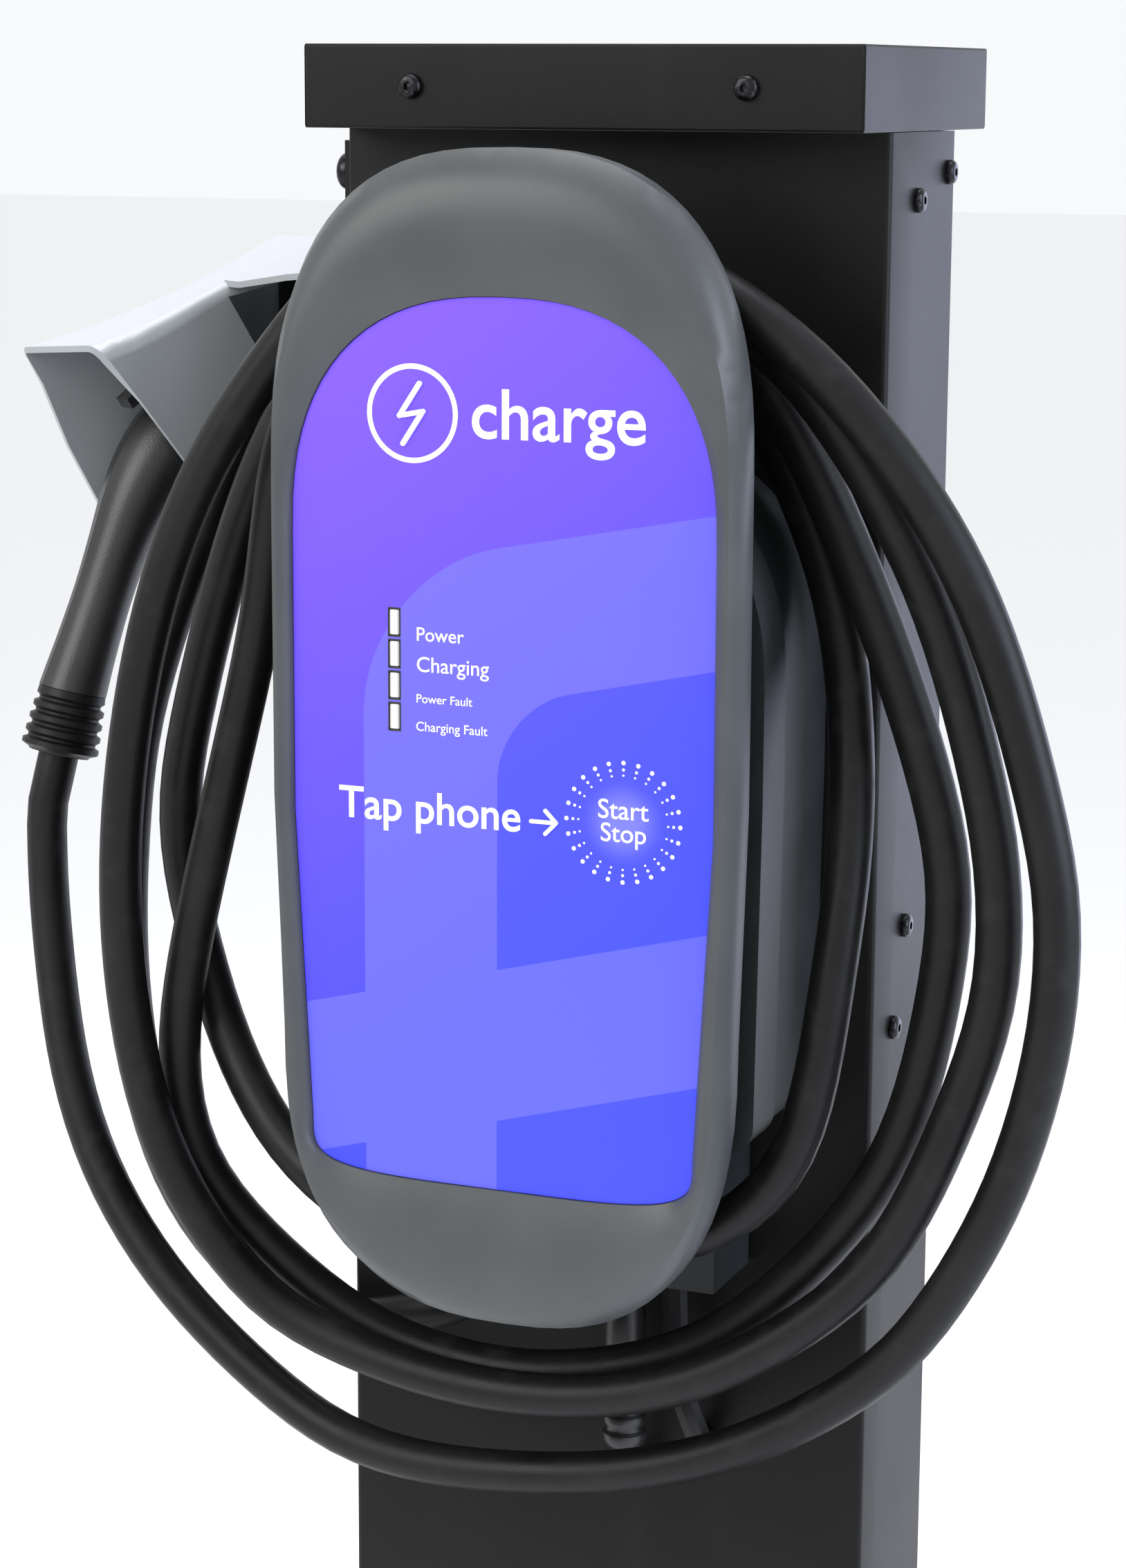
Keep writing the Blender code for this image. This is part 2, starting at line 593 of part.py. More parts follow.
def build_rear_housing(finish):
    """The cable-carrying body: neck, flange, plain sides, and the wiring chamber hanging below."""
    body = charger_outline(*BODY_OUTLINE)
    neck = grown(body, -NECK_INSET)
    flange = grown(body, 0.0020)
    inside = grown(neck, -HOUSING_WALL)
    rear = PLATE_SHEET + 2 * GAP
    rings = [
        ahead(body, rear), ahead(body, FLANGE_BACK), ahead(flange, FLANGE_BACK + 0.002),
        ahead(flange, FLANGE_FRONT), ahead(neck, FLANGE_FRONT), ahead(neck, RIM_BACK + 0.005),
        ahead(inside, RIM_BACK + 0.005), ahead(inside, rear + HOUSING_WALL),
    ]
    housing = solid("rear_housing", lofted(rings), finish["housing"])
    x0, x1 = CHAMBER_X
    z0, z1 = CHAMBER_Z
    y0, y1 = FACE_Y - CHAMBER_DEPTH[1], FACE_Y - CHAMBER_DEPTH[0]
    c = CHAMBER_CHAMFER
    join(housing, prism([(x0, z1), (x0, z0 + c), (x0 + c, z0), (x1, z0), (x1, z1)], y0, y1, "Y"), "chamber")
    w = HOUSING_WALL
    k = c + w * (math.sqrt(2) - 1) * 0.4
    pocket = [(x0 + w, z1 + 0.010), (x0 + w, z0 + k), (x0 + k, z0 + w), (x1 - w, z0 + w),
              (x1 - w, z1 + 0.010)]
    cut(housing, prism(pocket, y0 + w, y1 - w, "Y"), "chamber_pocket")


def build_inside(finish):
    """What the charger holds: mounting plate, board, relay, terminals, current sensor and tap reader."""
    y = FACE_Y
    solid("mounting_plate", box((-0.080, y - PLATE_SHEET - GAP, 0.935), (0.080, y - GAP, 1.165)),
          finish["galvanised"])
    solid("main_board", box((-0.070, y - 0.088, 0.935), (0.070, y - 0.0864, 1.135)), finish["board"])
    solid("contactor", box((-0.062, y - 0.070, 1.000), (0.000, y - 0.012, 1.080), 0.002), finish["relay"])
    solid("terminal_block", box((-0.050, y - 0.038, 0.925), (0.050, y - 0.010, 0.955), 0.001),
          finish["lens"])
    ring = [(0.009, 0), (0.020, 0), (0.020, 0.012), (0.009, 0.012)]
    solid("current_sensor", turned(ring, 20, closed=True), finish["relay"],
          location=(0.035, y - 0.060, 1.030), rotation=(math.pi / 2, 0, 0))
    x, z = TAP_CENTRE
    solid("tap_reader", box((x - 0.028, y - 0.1165, z - 0.032), (x + 0.028, y - 0.1150, z + 0.032)),
          finish["board"])


def conduit_ends():
    """Where the two leads enter the post's front, as (x, z)."""
    return ((0.0205, 0.7230), (0.0500, 0.7420))


def curve_tube(name, points, radius, finish, resolution=2):
    """A round tube along plain points, closed at both ends."""
    line = bpy.data.curves.new(name, "CURVE")
    line.dimensions = "3D"
    spline = line.splines.new("POLY")
    spline.points.add(len(points) - 1)
    for spot, point in zip(spline.points, points):
        spot.co = (*point, 1.0)
    line.bevel_depth = radius
    line.bevel_resolution = resolution
    line.use_fill_caps = True
    return place(name, line, finish)


def smooth_line(route, steps=24):
    """A smooth line through the route's own points."""
    points = [Vector(p) for p in route]
    points = [points[0] * 2 - points[1]] + points + [points[-1] * 2 - points[-2]]
    line = []
    for i in range(1, len(points) - 2):
        before, start, end, after = points[i - 1:i + 3]
        for k in range(steps):
            t = k / steps
            line.append(0.5 * (2 * start + (end - before) * t
                               + (2 * before - 5 * start + 4 * end - after) * t ** 2
                               + (3 * start - before - 3 * end + after) * t ** 3))
    line.append(points[-2])
    return line


def spaced(line, count, bend_weight=0.12):
    """The line's points again, spread evenly over its length and its bending."""
    travel = [0.0]
    for i in range(1, len(line)):
        step = line[i] - line[i - 1]
        weight = step.length
        if i + 1 < len(line):
            weight += bend_weight * step.angle(line[i + 1] - line[i])
        travel.append(travel[-1] + weight)
    made = []
    at = 0
    for k in range(count):
        goal = travel[-1] * k / (count - 1)
        while at < len(travel) - 2 and travel[at + 1] < goal:
            at += 1
        share = (goal - travel[at]) / (travel[at + 1] - travel[at])
        made.append(line[at].lerp(line[at + 1], share))
    return made


def eased(line, reach, step=0.004, hold=4):
    """The same line, evenly spaced, with its small wobbles eased out over about reach. Its ends stay put."""
    length = sum((b - a).length for a, b in zip(line, line[1:]))
    points = spaced(line, int(length / step) + 1, 0.0)
    for _ in range(int(2 * (reach / step) ** 2)):
        moved = [(a + b * 2 + c) / 4 for a, b, c in zip(points, points[1:], points[2:])]
        points[hold:-hold] = moved[hold - 1:1 - hold]
    return points


def build_glands(finish):
    """The cable's gland and strain relief on the chamber's chamfer, and the two leads into the post."""
    middle = Vector((CHAMBER_X[0] + CHAMBER_CHAMFER / 2, cable_y(), CHAMBER_Z[0] + CHAMBER_CHAMFER / 2))
    out = gland_direction()
    turn = out.to_track_quat("Z", "X").to_euler()
    nut = [(0, 0), (GLAND_R, 0), (GLAND_R, GLAND_L * 0.7), (GLAND_R * 0.86, GLAND_L), (0, GLAND_L)]
    solid("cable_gland", turned(nut, 12), finish["handle"], location=middle + out * GAP, rotation=turn)
    relief = [(0, 0), (0.0128, 0), (0.0128, 0.004)]
    for rib in range(4):
        low = 0.006 + rib * 0.007
        grow = 0.0122 - rib * 0.0004
        relief += [(grow - 0.0014, low), (grow - 0.0014, low + 0.002), (grow, low + 0.003),
                   (grow, low + 0.0055)]
    relief += [(0.0108, RELIEF_L), (0, RELIEF_L)]
    solid("strain_relief", turned(relief, 14), finish["rubber"],
          location=middle + out * (GLAND_L + 2 * GAP), rotation=turn)

    (x, z), (x2, z2) = conduit_ends()
    low = CHAMBER_Z[0]
    lead_y = FACE_Y - 0.024
    fitting = [(0, 0), (0.0110, 0), (0.0110, 0.010), (0.0095, 0.012), (0.0095, 0.058)]
    for rib in range(3):
        at = 0.060 + rib * 0.0085
        fitting += [(0.0088, at), (0.0088, at + 0.002), (0.0102, at + 0.0035), (0.0102, at + 0.0065)]
    fitting += [(0.0085, 0.0865), (0, 0.0865)]
    solid("supply_fitting", turned(fitting, 14), finish["handle"], location=(x, lead_y, low - GAP),
          rotation=(math.pi, 0, 0))
    top = low - GAP * 2 - 0.0865
    supply = [(x, lead_y, top - 0.002), (x, lead_y + 0.002, top - 0.009), (x, lead_y + 0.009, z + 0.002),
              (x, lead_y + 0.018, z), (x, FACE_Y + 0.014, z)]
    supply = [(x, lead_y, top), *spaced(smooth_line(supply, 8), 12)]
    curve_tube("supply_lead", supply, CONDUIT_R, finish["rubber"])
    lead = [(x2 - 0.006, lead_y, low - 0.004), (x2 - 0.005, lead_y, low - 0.030),
            (x2 - 0.002, lead_y - 0.001, low - 0.055), (x2 + 0.004, lead_y + 0.003, z2 + 0.012),
            (x2 + 0.002, lead_y + 0.014, z2 + 0.001), (x2, FACE_Y - 0.002, z2), (x2, FACE_Y + 0.014, z2)]
    lead = [(x2 - 0.006, lead_y, low - GAP), *spaced(smooth_line(lead, 8), 14)]
    curve_tube("network_lead", lead, CONDUIT_R, finish["rubber"])


def cable_y():
    return FACE_Y - 0.0265


def gland_direction():
    return Vector((-1, 0, -1)).normalized()


# --- holster ---------------------------------------------------------------------------------------------

def holster_axes():
    axes = bpy.data.objects.new("holster_axes", None)
    bpy.context.scene.collection.objects.link(axes)
    axes.location = HOLSTER_AT
    axes.rotation_euler = (0, 0, HOLSTER_TURN)
    return axes


def hood_section(near, far, share, wall):
    """One section of the hood, from the near wall's foot over the roof to the far wall's foot.

    near and far are the roof's (x, z) over each wall, share runs from 0 at the mouth to 1 at the back,
    and wall is how far inside the outer face the section lies.
    """
    half = HOOD_HALF - wall
    near_back = HOOD_NEAR_TOP[-1][1]

    def wall_points(mouth, y):
        foot = mouth[-1][1]
        points = []
        for x, z in mouth:
            back = near_back + (foot - near_back) * z / foot
            points.append((x + (HOOD_LENGTH - x) * share, y, z + (back - z) * share))
        return points

    def roof(y, drop):
        across = (y + HOOD_HALF) / (2 * HOOD_HALF)
        x = near[0] + (far[0] - near[0]) * across
        z = near[1] + (far[1] - near[1]) * across
        lean = 0.81 if y < 0 else 0.53
        return (x + drop * lean * (1 - share), y, z - wall - drop)

    points = list(reversed(wall_points(HOOD_NEAR_MOUTH, -half)))
    radius = HOOD_RIDGE_R - wall
    for i in range(6):
        angle = math.pi / 2 * i / 5
        points.append(roof(-half + radius * (1 - math.cos(angle)), radius * (1 - math.sin(angle))))
    radius = HOOD_RIDGE_R / 2 - wall * 0.9
    for i in range(5):
        angle = math.pi / 2 * (1 - i / 4)
        points.append(roof(half - radius * (1 - math.cos(angle)), radius * (1 - math.sin(angle))))
    return points + wall_points(HOOD_FAR_MOUTH, half)


def folded_shell(outer, inner):
    """A closed sheet between two grids of sections, joined along all four of their edges."""
    shape = bmesh.new()
    grids = [[[shape.verts.new(point) for point in section] for section in grid] for grid in (outer, inner)]
    for grid in grids:
        for low, high in zip(grid, grid[1:]):
            for i in range(len(low) - 1):
                shape.faces.new((low[i], low[i + 1], high[i + 1], high[i]))
    out, inn = grids
    for k in (0, -1):
        for i in range(len(out[0]) - 1):
            shape.faces.new((out[k][i], out[k][i + 1], inn[k][i + 1], inn[k][i]))
        for row in range(len(out) - 1):
            shape.faces.new((out[row][k], out[row + 1][k], inn[row + 1][k], inn[row][k]))
    return shape


def build_hood(finish, axes):
    """The hood over the connector: roof, two side walls with raked front edges, and a wing to the post."""
    near_line = smooth_line([(x, 0, z) for x, z in HOOD_NEAR_TOP], 3)
    far_line = smooth_line([(x, 0, z) for x, z in HOOD_FAR_TOP], 3)
    grids = []
    for wall in (0.0, HOOD_WALL):
        sections = []
        for near, far in zip(near_line, far_line):
            share = near.x / HOOD_LENGTH
            sections.append(hood_section((near.x, near.z), (far.x, far.z), share, wall))
        grids.append(sections)
    hood = solid("holster_hood", folded_shell(*grids), finish["hood"], parent=axes)
    behind = [(0.0690, 0.0205), (HOOD_LENGTH + 0.02, 0.0380), (HOOD_LENGTH + 0.02, -0.0900),
              (0.1370, -0.0900)]
    cut(hood, prism(behind, -HOOD_HALF - 0.01, -HOOD_HALF + HOOD_WALL + 0.001, "Y"), "hood_side")
    rise = (0.0466 - 0.0279) / (HOOD_LENGTH - 0.0675)

    def roof(x, drop):
        return 0.0279 + (x - 0.0675) * rise - drop

    plan = [(0.0700, -0.0250), (0.0700, -0.0400), (0.0835, -0.0620), (0.1000, -0.1130),
            (HOOD_LENGTH, -0.0932), (HOOD_LENGTH, -0.0250)]
    wing = lofted([[(x, y, roof(x, 0.0036)) for x, y in plan], [(x, y, roof(x, 0.0006)) for x, y in plan]])
    join(hood, wing, "hood_wing")


def post_side_in_holster(x_world, s):
    """The holster frame's Y of a point at x_world in the world and at s along the holster's X."""
    across = HOLSTER_AT[0] + s * math.cos(HOLSTER_TURN) - x_world
    return across / math.sin(HOLSTER_TURN)


def build_bracket(finish, axes):
    """Folded bracket: a plate square to the dock and a flange screwed to the post's left side."""
    face = -POST_WIDTH / 2 - GAP
    t = BRACKET_SHEET
    top = TOTAL_HEIGHT - CAP_HEIGHT - 0.006
    front = FACE_Y + 0.004
    outline = [(front, 1.1600), (0.0240, 1.1600), (0.0240, 1.2660), (BRACKET_STRIP_BACK, 1.2660),
               (BRACKET_STRIP_BACK, top), (front, top)]
    bracket = solid("holster_bracket", prism(outline, face - t, face, "X"), finish["charcoal"])
    start = HOOD_LENGTH + GAP
    inner = post_side_in_holster(face - t / 2, start)
    plate = box((start, inner, -0.0740), (start + t, HOOD_HALF, 0.0300))
    plate.transform(Matrix.Translation(HOLSTER_AT) @ Matrix.Rotation(HOLSTER_TURN, 4, "Z"))
    join(bracket, plate, "dock_plate")
    rows = ((front + 0.010, top - 0.014), (front + 0.010, 1.1900))
    holes = bmesh.new()
    for y, z in rows:
        add_rod(holes, (face - 0.01, y, z), (face + 0.004, y, z), 0.0036)
    cut(bracket, holes, "bracket_holes")
    for number, (y, z) in enumerate(rows, 1):
        profile = [(0, 0.0062), (0.0055, 0.0062), (0.0066, 0.0050), (0.0066, 0.0016), (0.0085, 0.0016),
                   (0.0085, 0), (0.0030, 0), (0.0030, -t - GAP), (0, -t - GAP)]
        solid(f"bracket_bolt_{number}", turned(profile, 12), finish["black_screw"],
              location=(face - t - GAP, y, z), rotation=(0, -math.pi / 2, 0))


def build_dock(finish, axes):
    """The round dock that the connector's nose sits in, closed behind by the bracket's plate."""
    rear = HOOD_LENGTH
    profile = [(0, DOCK_MOUTH + 0.0330), (DOCK_BORE_R, DOCK_MOUTH + 0.0330), (DOCK_BORE_R, DOCK_MOUTH),
               (DOCK_R, DOCK_MOUTH), (DOCK_R, rear), (0, rear)]
    solid("connector_dock", turned(profile, 28), finish["handle"], parent=axes, location=(0, 0, NOSE_Z),
          rotation=(0, math.pi / 2, 0))


# --- connector -------------------------------------------------------------------------------------------

HANDLE_SECTIONS = (     # (x, z) on the spine, half height in the spine's plane, half width across it
    ((-0.0020, -0.1677), 0.0165, 0.0165),
    ((0.0060, -0.1460), 0.0150, 0.0155),
    ((0.0150, -0.1220), 0.0142, 0.0148),
    ((0.0240, -0.0990), 0.0150, 0.0160),
    ((0.0345, -0.0770), 0.0180, 0.0192),
    ((0.0470, -0.0590), 0.0215, 0.0225),
    ((0.0620, -0.0465), 0.0240, 0.0245),
    ((0.0785, NOSE_Z), 0.0252, 0.0252),
)


def handle_rings(side, wall):
    """Half-ring sections of one handle shell, on the +Y or the -Y side."""
    stations = smooth_line([(x, z, tall, wide) for (x, z), tall, wide in HANDLE_SECTIONS], 3)
    spine = [Vector((x, 0, z)) for x, z, _, _ in stations]
    rings = []
    steps = 10
    for i, (here, (_, _, tall, wide)) in enumerate(zip(spine, stations)):
        if i == 0:
            along = Vector((math.sin(HANDLE_TILT), 0, math.cos(HANDLE_TILT)))
        elif i == len(spine) - 1:
            along = Vector((1, 0, 0))
        else:
            along = (spine[i + 1] - spine[i - 1]).normalized()
        up = Vector((-along.z, 0, along.x))
        ring = []
        for radius_tall, radius_wide, order in ((tall, wide, 1), (tall - wall, wide - wall, -1)):
            arc = []
            for k in range(steps + 1):
                angle = math.pi * k / steps - math.pi / 2
                across = max(radius_wide * math.cos(angle), 0.0) + GAP / 2
                arc.append(here + up * radius_tall * math.sin(angle) + Vector((0, side * across, 0)))
            ring += arc[::order]
        rings.append(ring)
    return rings


def build_handle(finish, axes):
    lug_low, lug_high = LATCH_HALF + GAP, LATCH_HALF + GAP + LUG_T
    px, pz = LATCH_PIVOT
    for side_name, side in (("left", 1), ("right", -1)):
        shell = solid(f"handle_shell_{side_name}", lofted(handle_rings(side, SHELL_WALL)), finish["handle"],
                      parent=axes)
        y0, y1 = sorted((side * lug_low, side * lug_high))
        lug = [(px - 0.004, pz - 0.0078), (px + 0.004, pz - 0.0078), (px + 0.003, pz + 0.0026),
               (px - 0.003, pz + 0.0026)]
        join(shell, prism(lug, y0, y1, "Y"), f"lug_{side_name}")
        bore = bmesh.new()
        add_rod(bore, (px, side * 0.004, pz), (px, side * 0.014, pz), LATCH_PIN_R + GAP, 10)
        cut(shell, bore, f"lug_bore_{side_name}")


CONTACTS = {            # (y, z) from the nose's axis, radius
    "contact_line_1": (-0.0079, 0.0056, 0.0040),
    "contact_line_2": (0.0079, 0.0056, 0.0040),
    "contact_ground": (0.0, -0.0107, 0.0036),
    "contact_proximity": (-0.0105, -0.0059, 0.0026),
    "contact_pilot": (0.0105, -0.0059, 0.0026),
}


def build_nose(finish, axes):
    """The round nose with its five contacts."""
    face = NOSE_START + 0.014
    profile = [(0, NOSE_START), (0.0250, NOSE_START), (0.0250, NOSE_START + 0.003),
               (NOSE_R, NOSE_START + 0.0045), (NOSE_R, NOSE_TIP), (NOSE_R - NOSE_WALL, NOSE_TIP),
               (NOSE_R - NOSE_WALL, face), (0, face)]
    nose = solid("connector_nose", turned(profile, 28), finish["handle"], parent=axes,
                 location=(0, 0, NOSE_Z), rotation=(0, math.pi / 2, 0))
    bores = bmesh.new()
    for y, z, radius in CONTACTS.values():
        add_rod(bores, (-z, y, NOSE_START + 0.004), (-z, y, face + 0.01), radius + GAP, 12)
    cut(nose, bores, "contact_bores")
    for name, (y, z, radius) in CONTACTS.items():
        low, high = NOSE_START + 0.004 + GAP, NOSE_TIP - 0.003
        bore = radius * 0.45
        sleeve = [(0, low), (radius, low), (radius, high), (bore, high), (bore, high - 0.012),
                  (0, high - 0.012)]
        solid(name, turned(sleeve, 12), finish["brass"], parent=axes, location=(0, y, NOSE_Z + z),
              rotation=(0, math.pi / 2, 0))


def build_latch(finish, axes):
    """Thumb lever with its hook, on a pin across the handle, and the coil spring under its pad."""
    px, pz = LATCH_PIVOT
    profile = [(0.0300, -0.0330), (0.0490, -0.0190), (0.0660, -0.0145), (0.0980, -0.0145), (0.0985, -0.0152),
               (0.1045, -0.0152), (0.1045, -0.0095), (0.0660, -0.0090), (0.0460, -0.0138), (0.0270, -0.0285)]
    local = [(x - px, z - pz) for x, z in profile]
    lever = solid("latch_lever", prism(local, -LATCH_HALF, LATCH_HALF, "Y"), finish["handle"], parent=axes,
                  location=(px, 0, pz))
    bore = bmesh.new()
    add_rod(bore, (0, -0.02, 0), (0, 0.02, 0), LATCH_PIN_R + GAP, 12)
    cut(lever, bore, "lever_bore")
    reach = LATCH_HALF + LUG_T
    pin = bmesh.new()
    add_rod(pin, (0, -reach, 0), (0, reach, 0), LATCH_PIN_R, 12)
    solid("latch_pin", pin, finish["steel"], parent=axes, location=(px, 0, pz))

    foot = Vector((0.0417, 0, -0.0313))
    rise = Vector((-0.64, 0, 0.77)).normalized()
    side = Vector((0, 1, 0))
    third = rise.cross(side)
    points = []
    count = int(SPRING_TURNS * 10) + 1
    for i in range(count):
        angle = 2 * math.pi * SPRING_TURNS * i / (count - 1)
        lift = SPRING_L * i / (count - 1)
        points.append(foot + rise * lift + (side * math.cos(angle) + third * math.sin(angle)) * SPRING_R)
    spring = curve_tube("latch_spring", points, SPRING_WIRE_R, finish["steel"], 1)
    spring.parent = axes


def handle_axis():
    """Direction down the handle, in the holster frame."""
    return Vector((-math.sin(HANDLE_TILT), 0, -math.cos(HANDLE_TILT)))


def build_boot(finish, axes):
    profile = [(0, 0), (0.0162, 0), (0.0166, 0.0035)]
    for rib in range(4):
        low = 0.0050 + rib * 0.0062
        outer = 0.0172 + rib * 0.0005
        profile += [(outer - 0.0022, low), (outer - 0.0022, low + 0.0012), (outer, low + 0.0024),
                    (outer, low + 0.0048)]
    profile += [(0.0150, BOOT_L - 0.0008), (0.0145, BOOT_L), (0, BOOT_L)]
    x, z = HANDLE_FOOT
    spot = Vector((x, 0, z)) + handle_axis() * GAP
    solid("handle_boot", turned(profile, 16), finish["rubber"], parent=axes, location=spot,
          rotation=(0, math.pi + HANDLE_TILT, 0))


def build_cable(finish):
    """One tube from the strain relief to the boot, meeting each of them face to face."""
    middle = Vector((CHAMBER_X[0] + CHAMBER_CHAMFER / 2, cable_y(), CHAMBER_Z[0] + CHAMBER_CHAMFER / 2))
    start = middle + gland_direction() * (GLAND_L + RELIEF_L + 3 * GAP)
    x, z = HANDLE_FOOT
    to_world = Matrix.Translation(HOLSTER_AT) @ Matrix.Rotation(HOLSTER_TURN, 4, "Z")
    foot = Vector((x, 0, z))
    end = to_world @ (foot + handle_axis() * (BOOT_L + 2 * GAP))
    before_end = to_world @ (foot + handle_axis() * (BOOT_L + 0.024))
    shift = FACE_Y - CABLE_FACE_Y
    route = [(x, y + shift, z) for x, y, z in CABLE_ROUTE]
    route = [start + gland_direction() * 0.012, *route, before_end]
    middle_run = spaced(eased(smooth_line(route), CABLE_EASE), CABLE_POINTS - 2)
    curve_tube("charging_cable", [start, *middle_run, end], CABLE_D / 2, finish["rubber"], 3)


def build():
    clear_scene()
    finish = finishes()
    build_base(finish)
    build_post(finish)
    build_crossbar("upper_crossbar", UPPER_BAR_Z, [SIDE_SCREWS["upper_front"]], finish)
    build_crossbar("lower_crossbar", LOWER_BAR_Z, [SIDE_SCREWS["middle"], SIDE_SCREWS["lower"]], finish)
    build_side_screws(finish)
    build_cap(finish)
    build_front_cover(finish)
    build_label(finish)
    build_rear_housing(finish)
    build_inside(finish)
    build_glands(finish)
    axes = holster_axes()
    build_hood(finish, axes)
    build_bracket(finish, axes)
    build_dock(finish, axes)
    build_handle(finish, axes)
    build_nose(finish, axes)
    build_latch(finish, axes)
    build_boot(finish, axes)
    build_cable(finish)


build()
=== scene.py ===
# %% [markdown]
# An EV charging post: a folded steel post that carries a wall charger, a holster and a long cable.
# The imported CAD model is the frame: every steel sheet, moulding and screw is already in its place.
# This lesson gives each of them a finish, lays the cable as one smooth tube, and prints the label.

# %% Load the frame
import json
import math

import bpy
from mathutils import Matrix, Quaternion, Vector

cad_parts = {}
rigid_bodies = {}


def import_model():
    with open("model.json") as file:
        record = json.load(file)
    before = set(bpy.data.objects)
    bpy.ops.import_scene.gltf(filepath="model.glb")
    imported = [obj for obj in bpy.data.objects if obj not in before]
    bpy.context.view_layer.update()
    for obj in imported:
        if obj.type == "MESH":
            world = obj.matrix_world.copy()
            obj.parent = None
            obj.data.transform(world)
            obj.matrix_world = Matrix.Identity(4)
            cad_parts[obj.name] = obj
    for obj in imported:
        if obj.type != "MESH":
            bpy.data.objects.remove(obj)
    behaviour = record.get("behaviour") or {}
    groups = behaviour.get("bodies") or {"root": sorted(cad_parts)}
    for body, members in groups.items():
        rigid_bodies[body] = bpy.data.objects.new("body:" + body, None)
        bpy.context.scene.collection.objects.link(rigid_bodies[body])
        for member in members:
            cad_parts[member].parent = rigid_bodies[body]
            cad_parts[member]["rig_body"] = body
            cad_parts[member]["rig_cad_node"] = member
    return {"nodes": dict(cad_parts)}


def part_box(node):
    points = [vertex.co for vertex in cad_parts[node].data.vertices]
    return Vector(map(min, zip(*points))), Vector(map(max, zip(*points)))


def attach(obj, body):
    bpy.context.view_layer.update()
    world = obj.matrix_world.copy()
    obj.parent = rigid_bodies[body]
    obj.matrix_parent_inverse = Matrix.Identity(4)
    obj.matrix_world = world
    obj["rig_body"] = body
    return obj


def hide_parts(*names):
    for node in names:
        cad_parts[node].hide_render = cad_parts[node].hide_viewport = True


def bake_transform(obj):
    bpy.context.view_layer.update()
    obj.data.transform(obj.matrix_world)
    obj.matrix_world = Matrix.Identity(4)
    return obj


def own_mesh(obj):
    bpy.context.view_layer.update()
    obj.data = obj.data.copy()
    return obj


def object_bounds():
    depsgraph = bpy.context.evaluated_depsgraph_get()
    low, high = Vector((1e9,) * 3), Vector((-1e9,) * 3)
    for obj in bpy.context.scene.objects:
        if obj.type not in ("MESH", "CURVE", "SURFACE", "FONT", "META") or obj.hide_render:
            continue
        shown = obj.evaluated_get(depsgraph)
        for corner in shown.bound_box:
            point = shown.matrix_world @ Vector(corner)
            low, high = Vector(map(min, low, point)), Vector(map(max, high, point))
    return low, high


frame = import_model()
cad_bounds = [[float(value) for value in corner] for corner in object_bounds()]
nodes = frame["nodes"]
print(len(nodes), "CAD nodes, box", cad_bounds)

# %% [markdown]
# The camera stands a little to the right of the post at head height and looks slightly down.
# A long lens keeps the post's edges nearly parallel. It is added first, before the cable.

# %% Camera
scene = bpy.context.scene
bpy.ops.object.select_all(action="DESELECT")
bpy.ops.object.camera_add(location=(0.5687, -1.5082, 1.3560))
camera = bpy.context.object
camera.name = "camera"
camera.data.lens = 81.3
view_direction = Vector((-0.0212, -0.048, 1.0439)) - camera.location
level = view_direction.to_track_quat("-Z", "Y")
camera.rotation_euler = (level @ Quaternion((0, 0, 1), math.radians(0.29))).to_euler()
scene.camera = camera
scene.view_settings.view_transform = "Standard"
print("camera to post", round(view_direction.length, 3), "m")

# %% [markdown]
# The charging cable is a fixed length of stiff rubber. It leaves the strain relief under the charger, makes
# four turns that hang on the charger's neck, and rises to the connector's boot on the left.
# The route below is the CAD model's own. A curve through these points could be a Bezier path with handles
# set by hand. Here a smooth line is read through them instead, so no handle has to be guessed.

